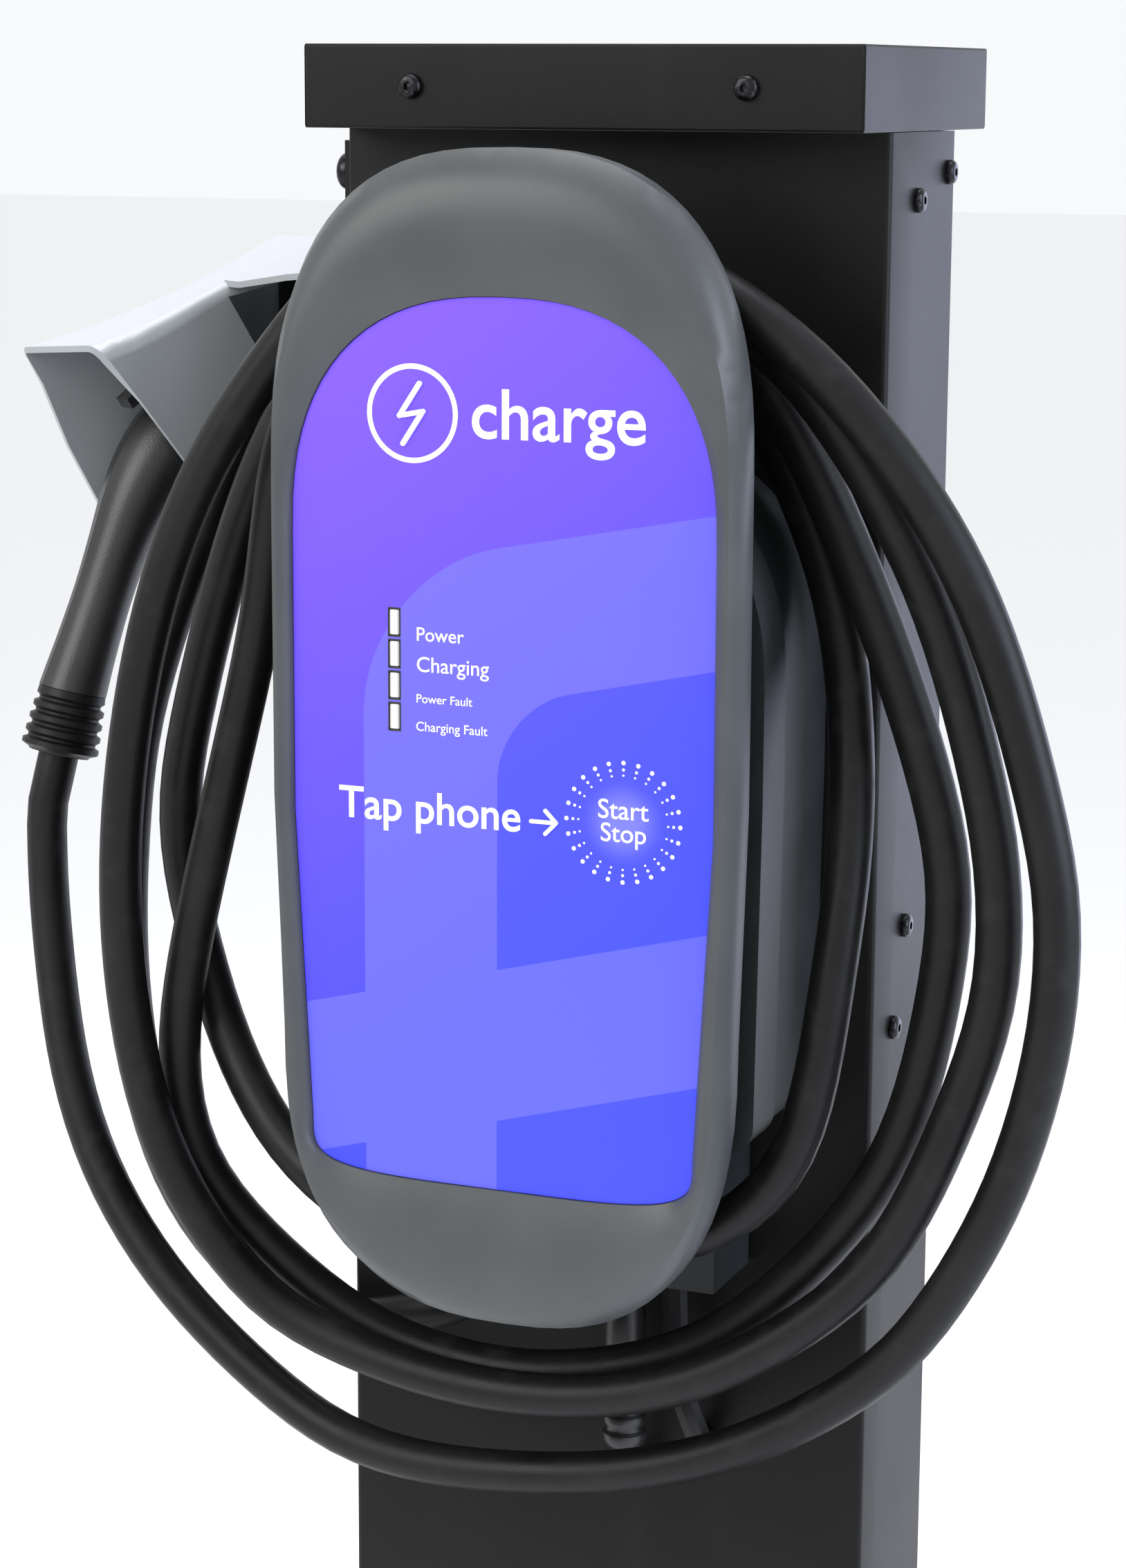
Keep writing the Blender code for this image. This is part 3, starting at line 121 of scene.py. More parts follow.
# %% The cable's route
CABLE_DIAMETER = 0.0195
GLAND_EXIT = Vector((-0.04799, -0.0745, 0.81201))
GLAND_DIRECTION = Vector((-1, 0, -1)).normalized()
BOOT_EXIT = Vector((-0.287038, -0.040538, 1.036277))
BELOW_BOOT = Vector((-0.290512, -0.045499, 1.013674))
CABLE_ROUTE = (
    (-0.070, -0.0735, 0.797), (-0.123, -0.068, 0.779), (-0.163, -0.060, 0.783), (-0.202, -0.056, 0.808),
    (-0.229, -0.055, 0.853), (-0.241, -0.055, 0.910), (-0.243, -0.056, 0.962), (-0.239, -0.057, 1.013),
    (-0.230, -0.058, 1.067), (-0.189, -0.061, 1.170), (-0.150, -0.064, 1.236), (-0.090, -0.067, 1.262),
    (-0.010, -0.068, 1.266), (0.060, -0.069, 1.242), (0.111, -0.080, 1.160), (0.128, -0.095, 1.103),
    (0.136, -0.113, 1.044), (0.132, -0.126, 0.980), (0.127, -0.130, 0.936), (0.114, -0.131, 0.896),
    (0.080, -0.131, 0.868), (0.040, -0.131, 0.857), (-0.010, -0.131, 0.848), (-0.070, -0.129, 0.849),
    (-0.121, -0.120, 0.874), (-0.149, -0.106, 0.897), (-0.179, -0.085, 0.932), (-0.200, -0.082, 1.008),
    (-0.195, -0.082, 1.057), (-0.162, -0.086, 1.164), (-0.125, -0.088, 1.232), (-0.072, -0.090, 1.266),
    (-0.005, -0.091, 1.278), (0.067, -0.092, 1.254), (0.102, -0.094, 1.214), (0.146, -0.099, 1.125),
    (0.174, -0.102, 1.044), (0.176, -0.103, 0.999), (0.153, -0.105, 0.900), (0.084, -0.104, 0.818),
    (0.031, -0.103, 0.792), (-0.023, -0.103, 0.782), (-0.071, -0.103, 0.787), (-0.109, -0.104, 0.801),
    (-0.175, -0.106, 0.855), (-0.189, -0.107, 0.905), (-0.182, -0.109, 0.959), (-0.156, -0.110, 1.062),
    (-0.141, -0.110, 1.122), (-0.125, -0.111, 1.215), (-0.080, -0.112, 1.268), (-0.008, -0.113, 1.290),
    (0.074, -0.114, 1.264), (0.115, -0.115, 1.234), (0.167, -0.116, 1.154), (0.197, -0.115, 1.057),
    (0.202, -0.116, 1.014), (0.199, -0.118, 0.970), (0.163, -0.123, 0.875), (0.128, -0.126, 0.836),
    (0.076, -0.128, 0.801), (0.018, -0.128, 0.784), (-0.046, -0.128, 0.783), (-0.101, -0.128, 0.795),
    (-0.139, -0.128, 0.812), (-0.187, -0.129, 0.878), (-0.206, -0.128, 0.978), (-0.194, -0.131, 1.088),
    (-0.161, -0.133, 1.183), (-0.105, -0.134, 1.260), (-0.068, -0.135, 1.290), (0.000, -0.136, 1.303),
    (0.076, -0.137, 1.277), (0.137, -0.136, 1.232), (0.192, -0.131, 1.154), (0.227, -0.130, 1.046),
    (0.230, -0.129, 1.010), (0.227, -0.129, 0.965), (0.208, -0.127, 0.897), (0.169, -0.122, 0.827),
    (0.134, -0.118, 0.795), (0.089, -0.115, 0.766), (0.034, -0.110, 0.745), (-0.021, -0.106, 0.735),
    (-0.075, -0.102, 0.731), (-0.127, -0.096, 0.741), (-0.213, -0.082, 0.797), (-0.266, -0.066, 0.869),
    (-0.291, -0.047, 0.972),
)
print(len(CABLE_ROUTE), "points on the cable's route")


# %% A smooth line through the route
def smooth_line(route, steps):
    """A line that passes through every route point and turns smoothly between them."""
    points = [Vector(point) for point in route]
    points = [points[0] * 2 - points[1]] + points + [points[-1] * 2 - points[-2]]
    line = []
    for i in range(1, len(points) - 2):
        before, start, end, after = points[i - 1:i + 3]
        for k in range(steps):
            t = k / steps
            line.append(0.5 * (2 * start + (end - before) * t
                               + (2 * before - 5 * start + 4 * end - after) * t ** 2
                               + (3 * start - before - 3 * end + after) * t ** 3))
    line.append(points[-2])
    return line


def evenly(line, step):
    """The same line with its points a step apart."""
    travel = [0.0]
    for a, b in zip(line, line[1:]):
        travel.append(travel[-1] + (b - a).length)
    count = int(travel[-1] / step) + 1
    made, at = [], 0
    for k in range(count):
        goal = travel[-1] * k / (count - 1)
        while at < len(travel) - 2 and travel[at + 1] < goal:
            at += 1
        made.append(line[at].lerp(line[at + 1], (goal - travel[at]) / (travel[at + 1] - travel[at])))
    return made


def eased(line, reach, step=0.004, hold=4):
    """A stiff cable has no small wobbles: each point moves towards its neighbours, many times over."""
    points = evenly(line, step)
    for _ in range(int(2 * (reach / step) ** 2)):
        moved = [(a + b * 2 + c) / 4 for a, b, c in zip(points, points[1:], points[2:])]
        points[hold:-hold] = moved[hold - 1:1 - hold]
    return points


through_route = smooth_line([GLAND_EXIT + GLAND_DIRECTION * 0.012, *CABLE_ROUTE, BELOW_BOOT], 24)
cable_line = [GLAND_EXIT, *evenly(eased(through_route, 0.022), 0.012), BOOT_EXIT]
cable_length = sum((b - a).length for a, b in zip(cable_line, cable_line[1:]))
print("cable", round(cable_length, 3), "m in", len(cable_line), "points")

# %% [markdown]
# A tube along the line could be a mesh swept by hand. A curve with a bevel does it in one step, and the
# curve is then converted to a mesh.

# %% The cable
cable_curve = bpy.data.curves.new("cable", "CURVE")
cable_curve.dimensions = "3D"
cable_spline = cable_curve.splines.new("POLY")
cable_spline.points.add(len(cable_line) - 1)
for spot, point in zip(cable_spline.points, cable_line):
    spot.co = (*point, 1.0)
cable_curve.bevel_depth = CABLE_DIAMETER / 2
cable_curve.bevel_resolution = 5
cable_curve.use_fill_caps = True
cable = bpy.data.objects.new("cable", cable_curve)
scene.collection.objects.link(cable)
bpy.ops.object.select_all(action="DESELECT")
cable.select_set(True)
bpy.context.view_layer.objects.active = cable
bpy.ops.object.convert(target="MESH")
cable = bpy.context.object
bpy.ops.object.shade_smooth()
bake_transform(cable)
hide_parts("charging_cable")
print("cable mesh", len(cable.data.polygons), "faces")

# %% [markdown]
# Finishes are built from nodes. Wiring them by hand is clear in the node editor but long in a script, so two
# small classes help: a Signal is a number that varies over the surface and can be added or multiplied like
# any number, and a Finish holds a material and adds nodes to it.


# %% Signals
class Signal:
    """A varying number in a finish, with ordinary arithmetic."""

    def __init__(self, finish, socket):
        self.finish = finish
        self.socket = socket

    def math(self, operation, *others):
        node = self.finish.add("ShaderNodeMath", {"operation": operation}, dict(enumerate((self, *others))))
        return Signal(self.finish, node.outputs[0])

    def __add__(self, other):
        return self.math("ADD", other)

    def __sub__(self, other):
        return self.math("SUBTRACT", other)

    def __rsub__(self, other):
        return self.math("MULTIPLY", -1.0).math("ADD", other)

    def __mul__(self, other):
        return self.math("MULTIPLY", other)

    def __truediv__(self, other):
        return self.math("DIVIDE", other)

    def rise(self, low, high):
        """0 below low, 1 above high, smooth between."""
        settings = {"interpolation_type": "SMOOTHSTEP"}
        edges = {"Value": self, "From Min": low, "From Max": high}
        node = self.finish.add("ShaderNodeMapRange", settings, edges)
        return Signal(self.finish, node.outputs[0])

    def fall(self, low, high):
        return 1.0 - self.rise(low, high)

    __radd__ = __add__
    __rmul__ = __mul__


print("signals ready")

# %% [markdown]
# A Finish starts from Blender's own Principled shader. Values that are the same all over the surface are set
# on its sockets, and only what varies is wired in. Patterns are placed by Object coordinates, so they stay
# still on a piece and keep their size in metres.


# %% Finishes
class Finish:
    """A material with one shader, and a method that adds any other node."""

    def __init__(self, name, color, roughness, metallic=0.0, **constants):
        self.material = bpy.data.materials.new(name)
        self.material.use_nodes = True
        self.tree = self.material.node_tree
        self.shader = self.tree.nodes["Principled BSDF"]
        self.feed(self.shader.inputs["Base Color"], (*color, 1.0))
        self.feed(self.shader.inputs["Roughness"], roughness)
        self.feed(self.shader.inputs["Metallic"], metallic)
        for socket, value in constants.items():
            self.feed(self.shader.inputs[socket.replace("_", " ")], value)
        self.place = self.add("ShaderNodeTexCoord").outputs["Object"]
        split = self.add("ShaderNodeSeparateXYZ", {}, {0: self.place})
        self.x, self.y, self.z = (Signal(self, split.outputs[i]) for i in range(3))

    def add(self, kind, settings=None, inputs=None):
        node = self.tree.nodes.new(kind)
        for key, value in (settings or {}).items():
            setattr(node, key, value)
        for key, value in (inputs or {}).items():
            self.feed(node.inputs[key], value)
        return node

    def feed(self, socket, value):
        if isinstance(value, Signal):
            self.tree.links.new(value.socket, socket)
        elif isinstance(value, bpy.types.NodeSocket):
            self.tree.links.new(value, socket)
        else:
            socket.default_value = value

    def noise(self, scale, detail=3.0, stretch=(1, 1, 1), roughness=0.5):
        """Soft mottling. The scale is in cells per metre."""
        spread = self.add("ShaderNodeMapping", {}, {"Vector": self.place, "Scale": stretch})
        settings = {"Vector": spread.outputs[0], "Scale": scale, "Detail": detail, "Roughness": roughness}
        return Signal(self, self.add("ShaderNodeTexNoise", {}, settings).outputs[0])

    def grains(self, scale):
        """The distance to the middle of the nearest grain."""
        node = self.add("ShaderNodeTexVoronoi", {}, {"Vector": self.place, "Scale": scale})
        return Signal(self, node.outputs["Distance"])

    def upward(self):
        """How far the surface faces up."""
        normal = self.add("ShaderNodeNewGeometry").outputs["Normal"]
        split = self.add("ShaderNodeSeparateXYZ", {}, {0: normal})
        return Signal(self, split.outputs[2])

    def mix(self, share, first, second):
        first, second = ((*c, 1.0) if isinstance(c, tuple) and len(c) == 3 else c for c in (first, second))
        node = self.add("ShaderNodeMix", {"data_type": "RGBA"}, {0: share, 6: first, 7: second})
        return node.outputs[2]

    def color(self, value):
        self.feed(self.shader.inputs["Base Color"], value)

    def rough(self, value):
        self.feed(self.shader.inputs["Roughness"], value)

    def bump(self, height, depth, strength=1.0):
        """Raises the surface by height times depth, in metres."""
        node = self.add("ShaderNodeBump", {}, {"Height": height, "Distance": depth, "Strength": strength})
        self.feed(self.shader.inputs["Normal"], node.outputs[0])


print("finishes ready")


# %% Dressing CAD nodes
def dress(finish, *names):
    """Puts a finish on CAD nodes."""
    for name in names:
        slots = nodes[name].data.materials
        slots.clear()
        slots.append(finish.material)


print("dress ready for", len(nodes), "nodes")

# %% [markdown]
# Powder coat is a baked plastic skin on the folded steel. Under a lamp it shows as a fine orange peel, and
# out of doors it gathers pale dust on top and streaks below. Noise at a millimetre makes the peel, broad
# noise the cloudiness, and the facing of the surface the dust.

# %% Charcoal powder coat
powder = Finish("powder_coat", (0.006, 0.006, 0.0058), 0.40, 0.0, Specular_IOR_Level=0.17)
peel = powder.noise(1500, 2.0)
cloud = powder.noise(9, 4.0)
streak = powder.noise(26, 3.0, stretch=(1, 1, 0.06))
dust = powder.upward().rise(0.55, 0.98) * powder.noise(40, 4.0).rise(0.30, 0.75)
near_ground = powder.z.fall(0.0, 0.35) * powder.noise(60, 5.0).rise(0.35, 0.8)
tone = powder.mix(cloud.rise(0.3, 0.75), (0.0038, 0.0038, 0.0036), (0.0075, 0.0075, 0.0072))
tone = powder.mix(streak.rise(0.55, 0.85) * 0.30, tone, (0.018, 0.018, 0.017))
tone = powder.mix(dust * 0.30 + near_ground * 0.22, tone, (0.16, 0.15, 0.13))
powder.color(tone)
powder.rough(cloud * 0.14 + 0.34 + dust * 0.25)
powder.bump(peel, 0.00012, 0.6)
dress(powder, "base_plate", "post_channel", "rear_cover", "cap", "holster_bracket")
print("powder coat on 5 nodes")

# %% [markdown]
# The inner bars, the tray under the cap, the mounting plate and the anchors are hot-dip galvanised. Zinc
# freezes into flat crystals called spangle, each a slightly different grey. A Voronoi cell colour does that.

# %% Galvanised steel
zinc = Finish("galvanised_steel", (0.48, 0.49, 0.50), 0.4, 1.0)
SPANGLES_PER_METRE = 130.0
cells = zinc.add("ShaderNodeTexVoronoi", {}, {"Vector": zinc.place, "Scale": SPANGLES_PER_METRE})
cell_values = zinc.add("ShaderNodeSeparateXYZ", {}, {0: cells.outputs["Color"]})
crystal = Signal(zinc, cell_values.outputs[0])
zinc.color(zinc.mix(crystal, (0.38, 0.39, 0.41), (0.56, 0.57, 0.58)))
zinc.rough(crystal * 0.18 + 0.32 + zinc.noise(300, 3.0) * 0.08)
zinc.bump(crystal + zinc.noise(700, 2.0) * 0.4, 0.00005, 0.5)
anchors = [name for name in nodes if name.startswith("anchor_bolt")]
dress(zinc, "upper_crossbar", "lower_crossbar", "cap_tray", "mounting_plate", *anchors)
print("zinc on", 4 + len(anchors), "nodes")

# %% [markdown]
# The charger's mouldings are polycarbonate with a fine spark-eroded grain. The grain is a Voronoi distance
# far smaller than a millimetre, and the sheen comes from a middling roughness that wanders a little. The
# hood, handle and housing take the same recipe in their own greys.


# %% Moulded plastics
def moulded(name, color, roughness, grain=1900, depth=0.00005, lift=0.25, shine=0.5):
    """A moulded plastic with a fine grain, a faint mottling and dust where it faces up."""
    finish = Finish(name, color, roughness, 0.0, Specular_IOR_Level=shine)
    mottle = finish.noise(22, 4.0)
    lighter = tuple(min(1.0, value * (1 + lift) + 0.003) for value in color)
    darker = tuple(value * (1 - lift * 0.5) for value in color)
    settled = finish.upward().rise(0.5, 0.95) * finish.noise(55, 4.0).rise(0.35, 0.8)
    shade = finish.mix(mottle.rise(0.3, 0.72), darker, lighter)
    finish.color(finish.mix(settled * 0.16, shade, (0.30, 0.29, 0.27)))
    finish.rough(mottle * 0.12 + (roughness - 0.06) + settled * 0.15)
    finish.bump(finish.grains(grain) + finish.noise(grain * 0.4, 2.0) * 0.6, depth, 0.55)
    return finish


cover_grey = moulded("cover_grey", (0.060, 0.065, 0.067), 0.38, lift=0.08, shine=0.36)
dress(cover_grey, "front_cover")
housing_grey = moulded("housing_grey", (0.013, 0.015, 0.016), 0.42, lift=0.15, shine=0.3)
dress(housing_grey, "rear_housing")
hood_grey = moulded("hood_grey", (0.26, 0.28, 0.30), 0.34, lift=0.05)
# Painted light: the hood's roof is painted paler than its sides, for the light that falls on it from above.
hood_roof_painted_light = hood_grey.upward().rise(0.45, 0.85)    # its roof is paler than its sides
hood_grey.color(hood_grey.mix(hood_roof_painted_light, (0.30, 0.32, 0.335), (0.47, 0.48, 0.52)))
dress(hood_grey, "holster_hood")
handle_black = moulded("handle_black", (0.013, 0.013, 0.0135), 0.36, grain=1300, depth=0.00010)
dress(handle_black, "handle_shell_left", "handle_shell_right", "latch_lever", "connector_nose",
      "connector_dock", "cable_gland", "supply_fitting")
print("moulded plastics on 10 nodes")

# %% [markdown]
# The cable's jacket, the boots and the gasket are a matte thermoplastic rubber. It scuffs to grey along its
# length, so long soft noise lightens it, and faint drawing lines run in the bump.

# %% Rubber
rubber = Finish("jacket_rubber", (0.006, 0.006, 0.006), 0.5, 0.0, Specular_IOR_Level=0.24)
scuff = rubber.noise(70, 5.0).rise(0.52, 0.80)
bloom = rubber.noise(14, 3.0).rise(0.35, 0.75)
rubber_tone = rubber.mix(bloom, (0.0042, 0.0042, 0.0043), (0.0080, 0.0080, 0.0080))
rubber.color(rubber.mix(scuff * 0.28, rubber_tone, (0.030, 0.030, 0.028)))
rubber.rough(bloom * 0.10 + 0.40 + scuff * 0.14)
rubber.bump(rubber.noise(900, 3.0) + rubber.noise(120, 2.0) * 0.5, 0.00012, 0.5)
dress(rubber, "cover_gasket", "strain_relief", "handle_boot", "supply_lead", "network_lead")
cable.data.materials.append(rubber.material)
print("rubber on the cable and 5 nodes")

# %% [markdown]
# The label is a printed film under a clear skin: violet at the upper left, blue at the lower right, with a
# paler band that rises, bends to the right and runs off, and a second one that slants across below.
# The bands are drawn as distances to straight edges, rounded where two edges meet.

# %% Printed label
LENS_X, LENS_TOP_Z, LENS_PITCH = -0.0480, 1.1335, 0.0134
TAP_X, TAP_Z = 0.0555, 1.0560
film = Finish("label_film", (0.1, 0.1, 1.0), 0.34, 0.0, Specular_IOR_Level=0.3, Coat_Weight=0.12,
              Coat_Roughness=0.15)


def bend_mask(side_x, edge_z, slope, radius):
    """1 right of a side and below a slanted edge, with a round corner between the two."""
    beside = film.x - side_x
    below = (film.x * slope + edge_z) - film.z
    reach_x = (radius - beside).math("MAXIMUM", 0.0)
    reach_z = (radius - below).math("MAXIMUM", 0.0)
    inside = radius - (reach_x * reach_x + reach_z * reach_z).math("SQRT")
    return inside.rise(-0.0003, 0.0003)


outer_bend = bend_mask(-0.0624, 1.1672, 0.190, 0.062)
inner_bend = bend_mask(-0.0010, 1.1013, 0.216, 0.032)
rising_band = outer_bend * (1.0 - inner_bend)
slant_top = (film.x * 0.255 + 0.9880) - film.z
slant_foot = film.z - (film.x * 0.272 + 0.9218)
slanted_band = slant_top.rise(-0.0003, 0.0003) * slant_foot.rise(-0.0003, 0.0003)
pale = (rising_band + slanted_band).math("MINIMUM", 1.0)
across = (film.x * -2.0 + (film.z - 1.05) * 3.0 + 0.25).math("MAXIMUM", 0.0).math("MINIMUM", 1.0)
ground = film.mix(across, (0.042, 0.055, 0.86), (0.185, 0.080, 0.86))
ground = film.mix(inner_bend * 0.60, ground, (0.048, 0.070, 0.88))
paler = film.mix(across, (0.105, 0.112, 0.78), (0.165, 0.125, 0.70))
print_color = film.mix(pale, ground, paler)

print("bands drawn")

# %% [markdown]
# The tap ring is three circles of dots on 24 spokes. An angle rounded to the nearest spoke tells how far a
# point lies from the nearest dot, so one formula draws them all. Dark frames stand round the windows.

# %% Tap ring and window frames on the label
SPOKES = 24
from_tap_x = film.x - TAP_X
from_tap_z = film.z - TAP_Z
from_tap = (from_tap_x * from_tap_x + from_tap_z * from_tap_z).math("SQRT")
turn_share = from_tap_z.math("ARCTAN2", from_tap_x) * (SPOKES / (2 * math.pi))
off_spoke = (turn_share - turn_share.math("ROUND")) * (2 * math.pi / SPOKES)
dots = None
for ring_radius, dot_radius in ((0.0252, 0.00092), (0.0223, 0.00062), (0.0199, 0.00045)):
    along_ring = off_spoke * ring_radius
    out_of_ring = from_tap - ring_radius
    to_dot = (along_ring * along_ring + out_of_ring * out_of_ring).math("SQRT")
    dot = to_dot.fall(dot_radius - 0.0001, dot_radius + 0.0001)
    dots = dot if dots is None else dots + dot
glow = from_tap.fall(0.004, 0.019) * 0.30
print_color = film.mix(glow, print_color, (0.42, 0.42, 0.95))
print_color = film.mix(dots, print_color, (0.90, 0.90, 0.95))
lens_x = (film.x - LENS_X).math("ABSOLUTE").fall(0.0029, 0.0031)
lens_row = (LENS_TOP_Z + LENS_PITCH / 2 - film.z) / LENS_PITCH
within_row = (lens_row.math("FRACT") - 0.5).math("ABSOLUTE").fall(0.465, 0.480)
lens_rows = lens_row.rise(-0.001, 0.0) * lens_row.fall(4.0, 4.001)
print_color = film.mix(lens_x * within_row * lens_rows, print_color, (0.035, 0.035, 0.038))
film.color(print_color)
film.rough(film.noise(60, 3.0) * 0.10 + 0.28)
film.bump(film.noise(1200, 2.0), 0.00002, 0.3)
dress(film, "label_panel")
print("label film has", len(film.tree.nodes), "nodes")

# %% [markdown]
# The indicator windows are clear over white and darker at their edges. The screws are black zinc that has
# rubbed bright in places, and the contacts are brass.

# %% Windows, screws and contacts
clear_window = Finish("window_white", (0.55, 0.55, 0.52), 0.25, 0.0, Coat_Weight=0.5)
window_edge = (clear_window.x - LENS_X).math("ABSOLUTE").rise(0.0012, 0.0021)
clear_window.color(clear_window.mix(window_edge, (0.66, 0.66, 0.62), (0.34, 0.34, 0.33)))
clear_window.rough(clear_window.noise(900, 2.0) * 0.2 + 0.18)
dress(clear_window, *[name for name in nodes if name.startswith("lens_")])
black_zinc = Finish("black_zinc", (0.02, 0.02, 0.021), 0.3, 0.85)
rub = black_zinc.noise(500, 4.0).rise(0.5, 0.8)
black_zinc.color(black_zinc.mix(rub * 0.6, (0.018, 0.018, 0.020), (0.11, 0.11, 0.115)))
black_zinc.rough(rub * 0.2 + 0.26)
brass = Finish("contact_brass", (0.72, 0.52, 0.24), 0.3, 1.0)
brass.color(brass.mix(brass.noise(300, 4.0).rise(0.35, 0.7), (0.60, 0.42, 0.18), (0.80, 0.62, 0.32)))
brass.rough(brass.noise(900, 2.0) * 0.2 + 0.2)
dress(brass, *[name for name in nodes if name.startswith("contact_")])
print("windows, screws and contacts finished")

# %% [markdown]
# The latch's pin and spring are bright drawn wire. Inside the charger, the boards get their solder mask with
# paler tracks, and the relay, sensor and terminals are plain mouldings.

# %% Wire and what the charger holds
wire_steel = Finish("wire_steel", (0.55, 0.55, 0.56), 0.3, 1.0)
wire_steel.color(wire_steel.mix(wire_steel.noise(400, 3.0), (0.45, 0.45, 0.46), (0.68, 0.68, 0.69)))
wire_steel.rough(wire_steel.noise(1500, 2.0) * 0.2 + 0.2)
dress(wire_steel, "latch_pin", "latch_spring")
board = Finish("board_green", (0.015, 0.13, 0.06), 0.4, 0.0, Coat_Weight=0.3)
traces = (board.x * 260 + board.noise(30, 1.0) * 3).math("SINE").rise(0.4, 0.6)
board.color(board.mix(traces, (0.010, 0.085, 0.040), (0.030, 0.20, 0.10)))
board.rough(board.noise(300, 3.0) * 0.2 + 0.3)
dress(board, "main_board", "tap_reader")
relay = moulded("relay_black", (0.03, 0.03, 0.032), 0.38)
dress(relay, "contactor", "current_sensor")
terminal = moulded("terminal_grey", (0.35, 0.36, 0.36), 0.5)
dress(terminal, "terminal_block")
print(len(bpy.data.materials), "materials")


# %% [markdown]
# Screws are seen close to, so each gets a real button head with a hexagon socket. A head is a short
# cylinder, rounded by a bevel on its top rim, with a six-sided cutter sunk in it. It is modelled once, and
# each screw is a copy with its own mesh, turned to face out of its sheet.

# %% Operator helpers
def deselect():
    if bpy.context.object and bpy.context.object.mode == "EDIT":
        bpy.ops.object.mode_set(mode="OBJECT")
    bpy.ops.object.select_all(action="DESELECT")


def activate(piece):
    deselect()
    piece.select_set(True)
    bpy.context.view_layer.objects.active = piece


def apply_modifier(piece, kind, **settings):
    """Adds a modifier with these settings and applies it."""
    activate(piece)
    modifier = piece.modifiers.new(kind.lower(), kind)
    for key, value in settings.items():
        setattr(modifier, key, value)
    bpy.ops.object.modifier_apply(modifier=modifier.name)


def settle(piece):
    """Moves the object's place and turn into its mesh, so that the piece sits at the origin."""
    activate(piece)
    bpy.ops.object.transform_apply(location=True, rotation=True, scale=True)


print("operator helpers ready")


# %% A button head
def button_head(radius, height, socket_radius, socket_depth):
    """A head that stands on the origin, rounded on top, with a hexagon socket."""
    deselect()
    bpy.ops.mesh.primitive_cylinder_add(vertices=40, radius=radius, depth=height, location=(0, 0, height / 2))
    head = bpy.context.object
    settle(head)
    bpy.ops.object.mode_set(mode="EDIT")
    bpy.ops.mesh.select_all(action="DESELECT")
    bpy.ops.object.mode_set(mode="OBJECT")
    for edge in head.data.edges:
        edge.select = all(head.data.vertices[i].co.z > height * 0.9 for i in edge.vertices)
    bpy.ops.object.mode_set(mode="EDIT")
    bpy.ops.mesh.select_mode(type="EDGE")
    bpy.ops.mesh.bevel(offset=height * 0.72, segments=6, profile=0.5)
    bpy.ops.object.mode_set(mode="OBJECT")
    deselect()
    bpy.ops.mesh.primitive_cylinder_add(vertices=6, radius=socket_radius, depth=socket_depth * 2,
                                        location=(0, 0, height))
    socket = bpy.context.object
    settle(socket)
    apply_modifier(head, "BOOLEAN", operation="DIFFERENCE", object=socket, solver="EXACT")
    bpy.data.objects.remove(socket, do_unlink=True)
    activate(head)
    bpy.ops.object.shade_smooth_by_angle(angle=math.radians(35))
    head.data.materials.clear()
    head.data.materials.append(black_zinc.material)
    return head


screw_head = button_head(radius=0.0054, height=0.0034, socket_radius=0.0021, socket_depth=0.0019)
bolt_head = button_head(radius=0.0085, height=0.0056, socket_radius=0.0034, socket_depth=0.0030)
print("screw head", len(screw_head.data.polygons), "faces")


# %% Screws in their places
def put_screw(master, node_name, outward):
    """A copy of a head on the face of a CAD screw, turned to face outward, in place of that node."""
    low, high = (Vector(corner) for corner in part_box(node_name))
    middle = (low + high) / 2
    axis = Vector(outward)
    tip = middle + axis * ((high - low) * 0.5).dot(Vector(map(abs, axis)))
    height = max(vertex.co.z for vertex in master.data.vertices)
    head = master.copy()
    head.data = master.data.copy()
    head.name = node_name + "_head"
    scene.collection.objects.link(head)
    turn = axis.to_track_quat("Z", "Y").to_matrix().to_4x4()
    head.matrix_world = Matrix.Translation(tip - axis * height) @ turn
    settle(head)
    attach(head, "post")
    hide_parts(node_name)
    return head


screw_count = 0
for name in sorted(nodes):
    if name.startswith("right_screw"):
        put_screw(screw_head, name, (1, 0, 0))
    elif name.startswith("left_screw"):
        put_screw(screw_head, name, (-1, 0, 0))
    elif name.startswith("cap_screw"):
        put_screw(screw_head, name, (0, -1, 0))
    elif name.startswith("bracket_bolt"):
        put_screw(bolt_head, name, (-1, 0, 0))
    else:
        continue
    screw_count += 1
for master in (screw_head, bolt_head):
    bpy.data.objects.remove(master, do_unlink=True)
print(screw_count, "screws placed")

# %% [markdown]
# The words on the label are printed white, and are plain and generic. The shader could draw them, but letters
# are hard to write as formulas. A text object turned into a thin mesh stays sharp at any distance.

# %% Label words
ink = Finish("white_ink", (0.86, 0.86, 0.90), 0.35)
ink.color(ink.mix(ink.noise(800, 2.0), (0.82, 0.82, 0.88), (0.90, 0.90, 0.93)))
ink.rough(ink.noise(500, 2.0) * 0.15 + 0.28)
INK_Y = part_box("label_panel")[0][1] - 0.00006


def print_word(name, words, left, right, baseline, weight=0.004):
    """White lettering between two sides, standing on a baseline, on the label's face, a little bolder."""
    deselect()
    bpy.ops.object.text_add()
    word = bpy.context.object
    word.name = name
    word.data.body = words
    word.data.extrude = 0.001
    word.data.resolution_u = 6
    word.data.offset = weight
    bpy.ops.object.convert(target="MESH")
    word = bpy.context.object
    low_x = min(v.co.x for v in word.data.vertices)
    wide = max(v.co.x for v in word.data.vertices) - low_x
    size = (right - left) / wide
    word.scale = (size, size, 0.04)
    word.rotation_euler = (math.pi / 2, 0, 0)
    word.location = (left - low_x * size, INK_Y, baseline)
    settle(word)
    word.data.materials.append(ink.material)
    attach(word, "post")
    return word


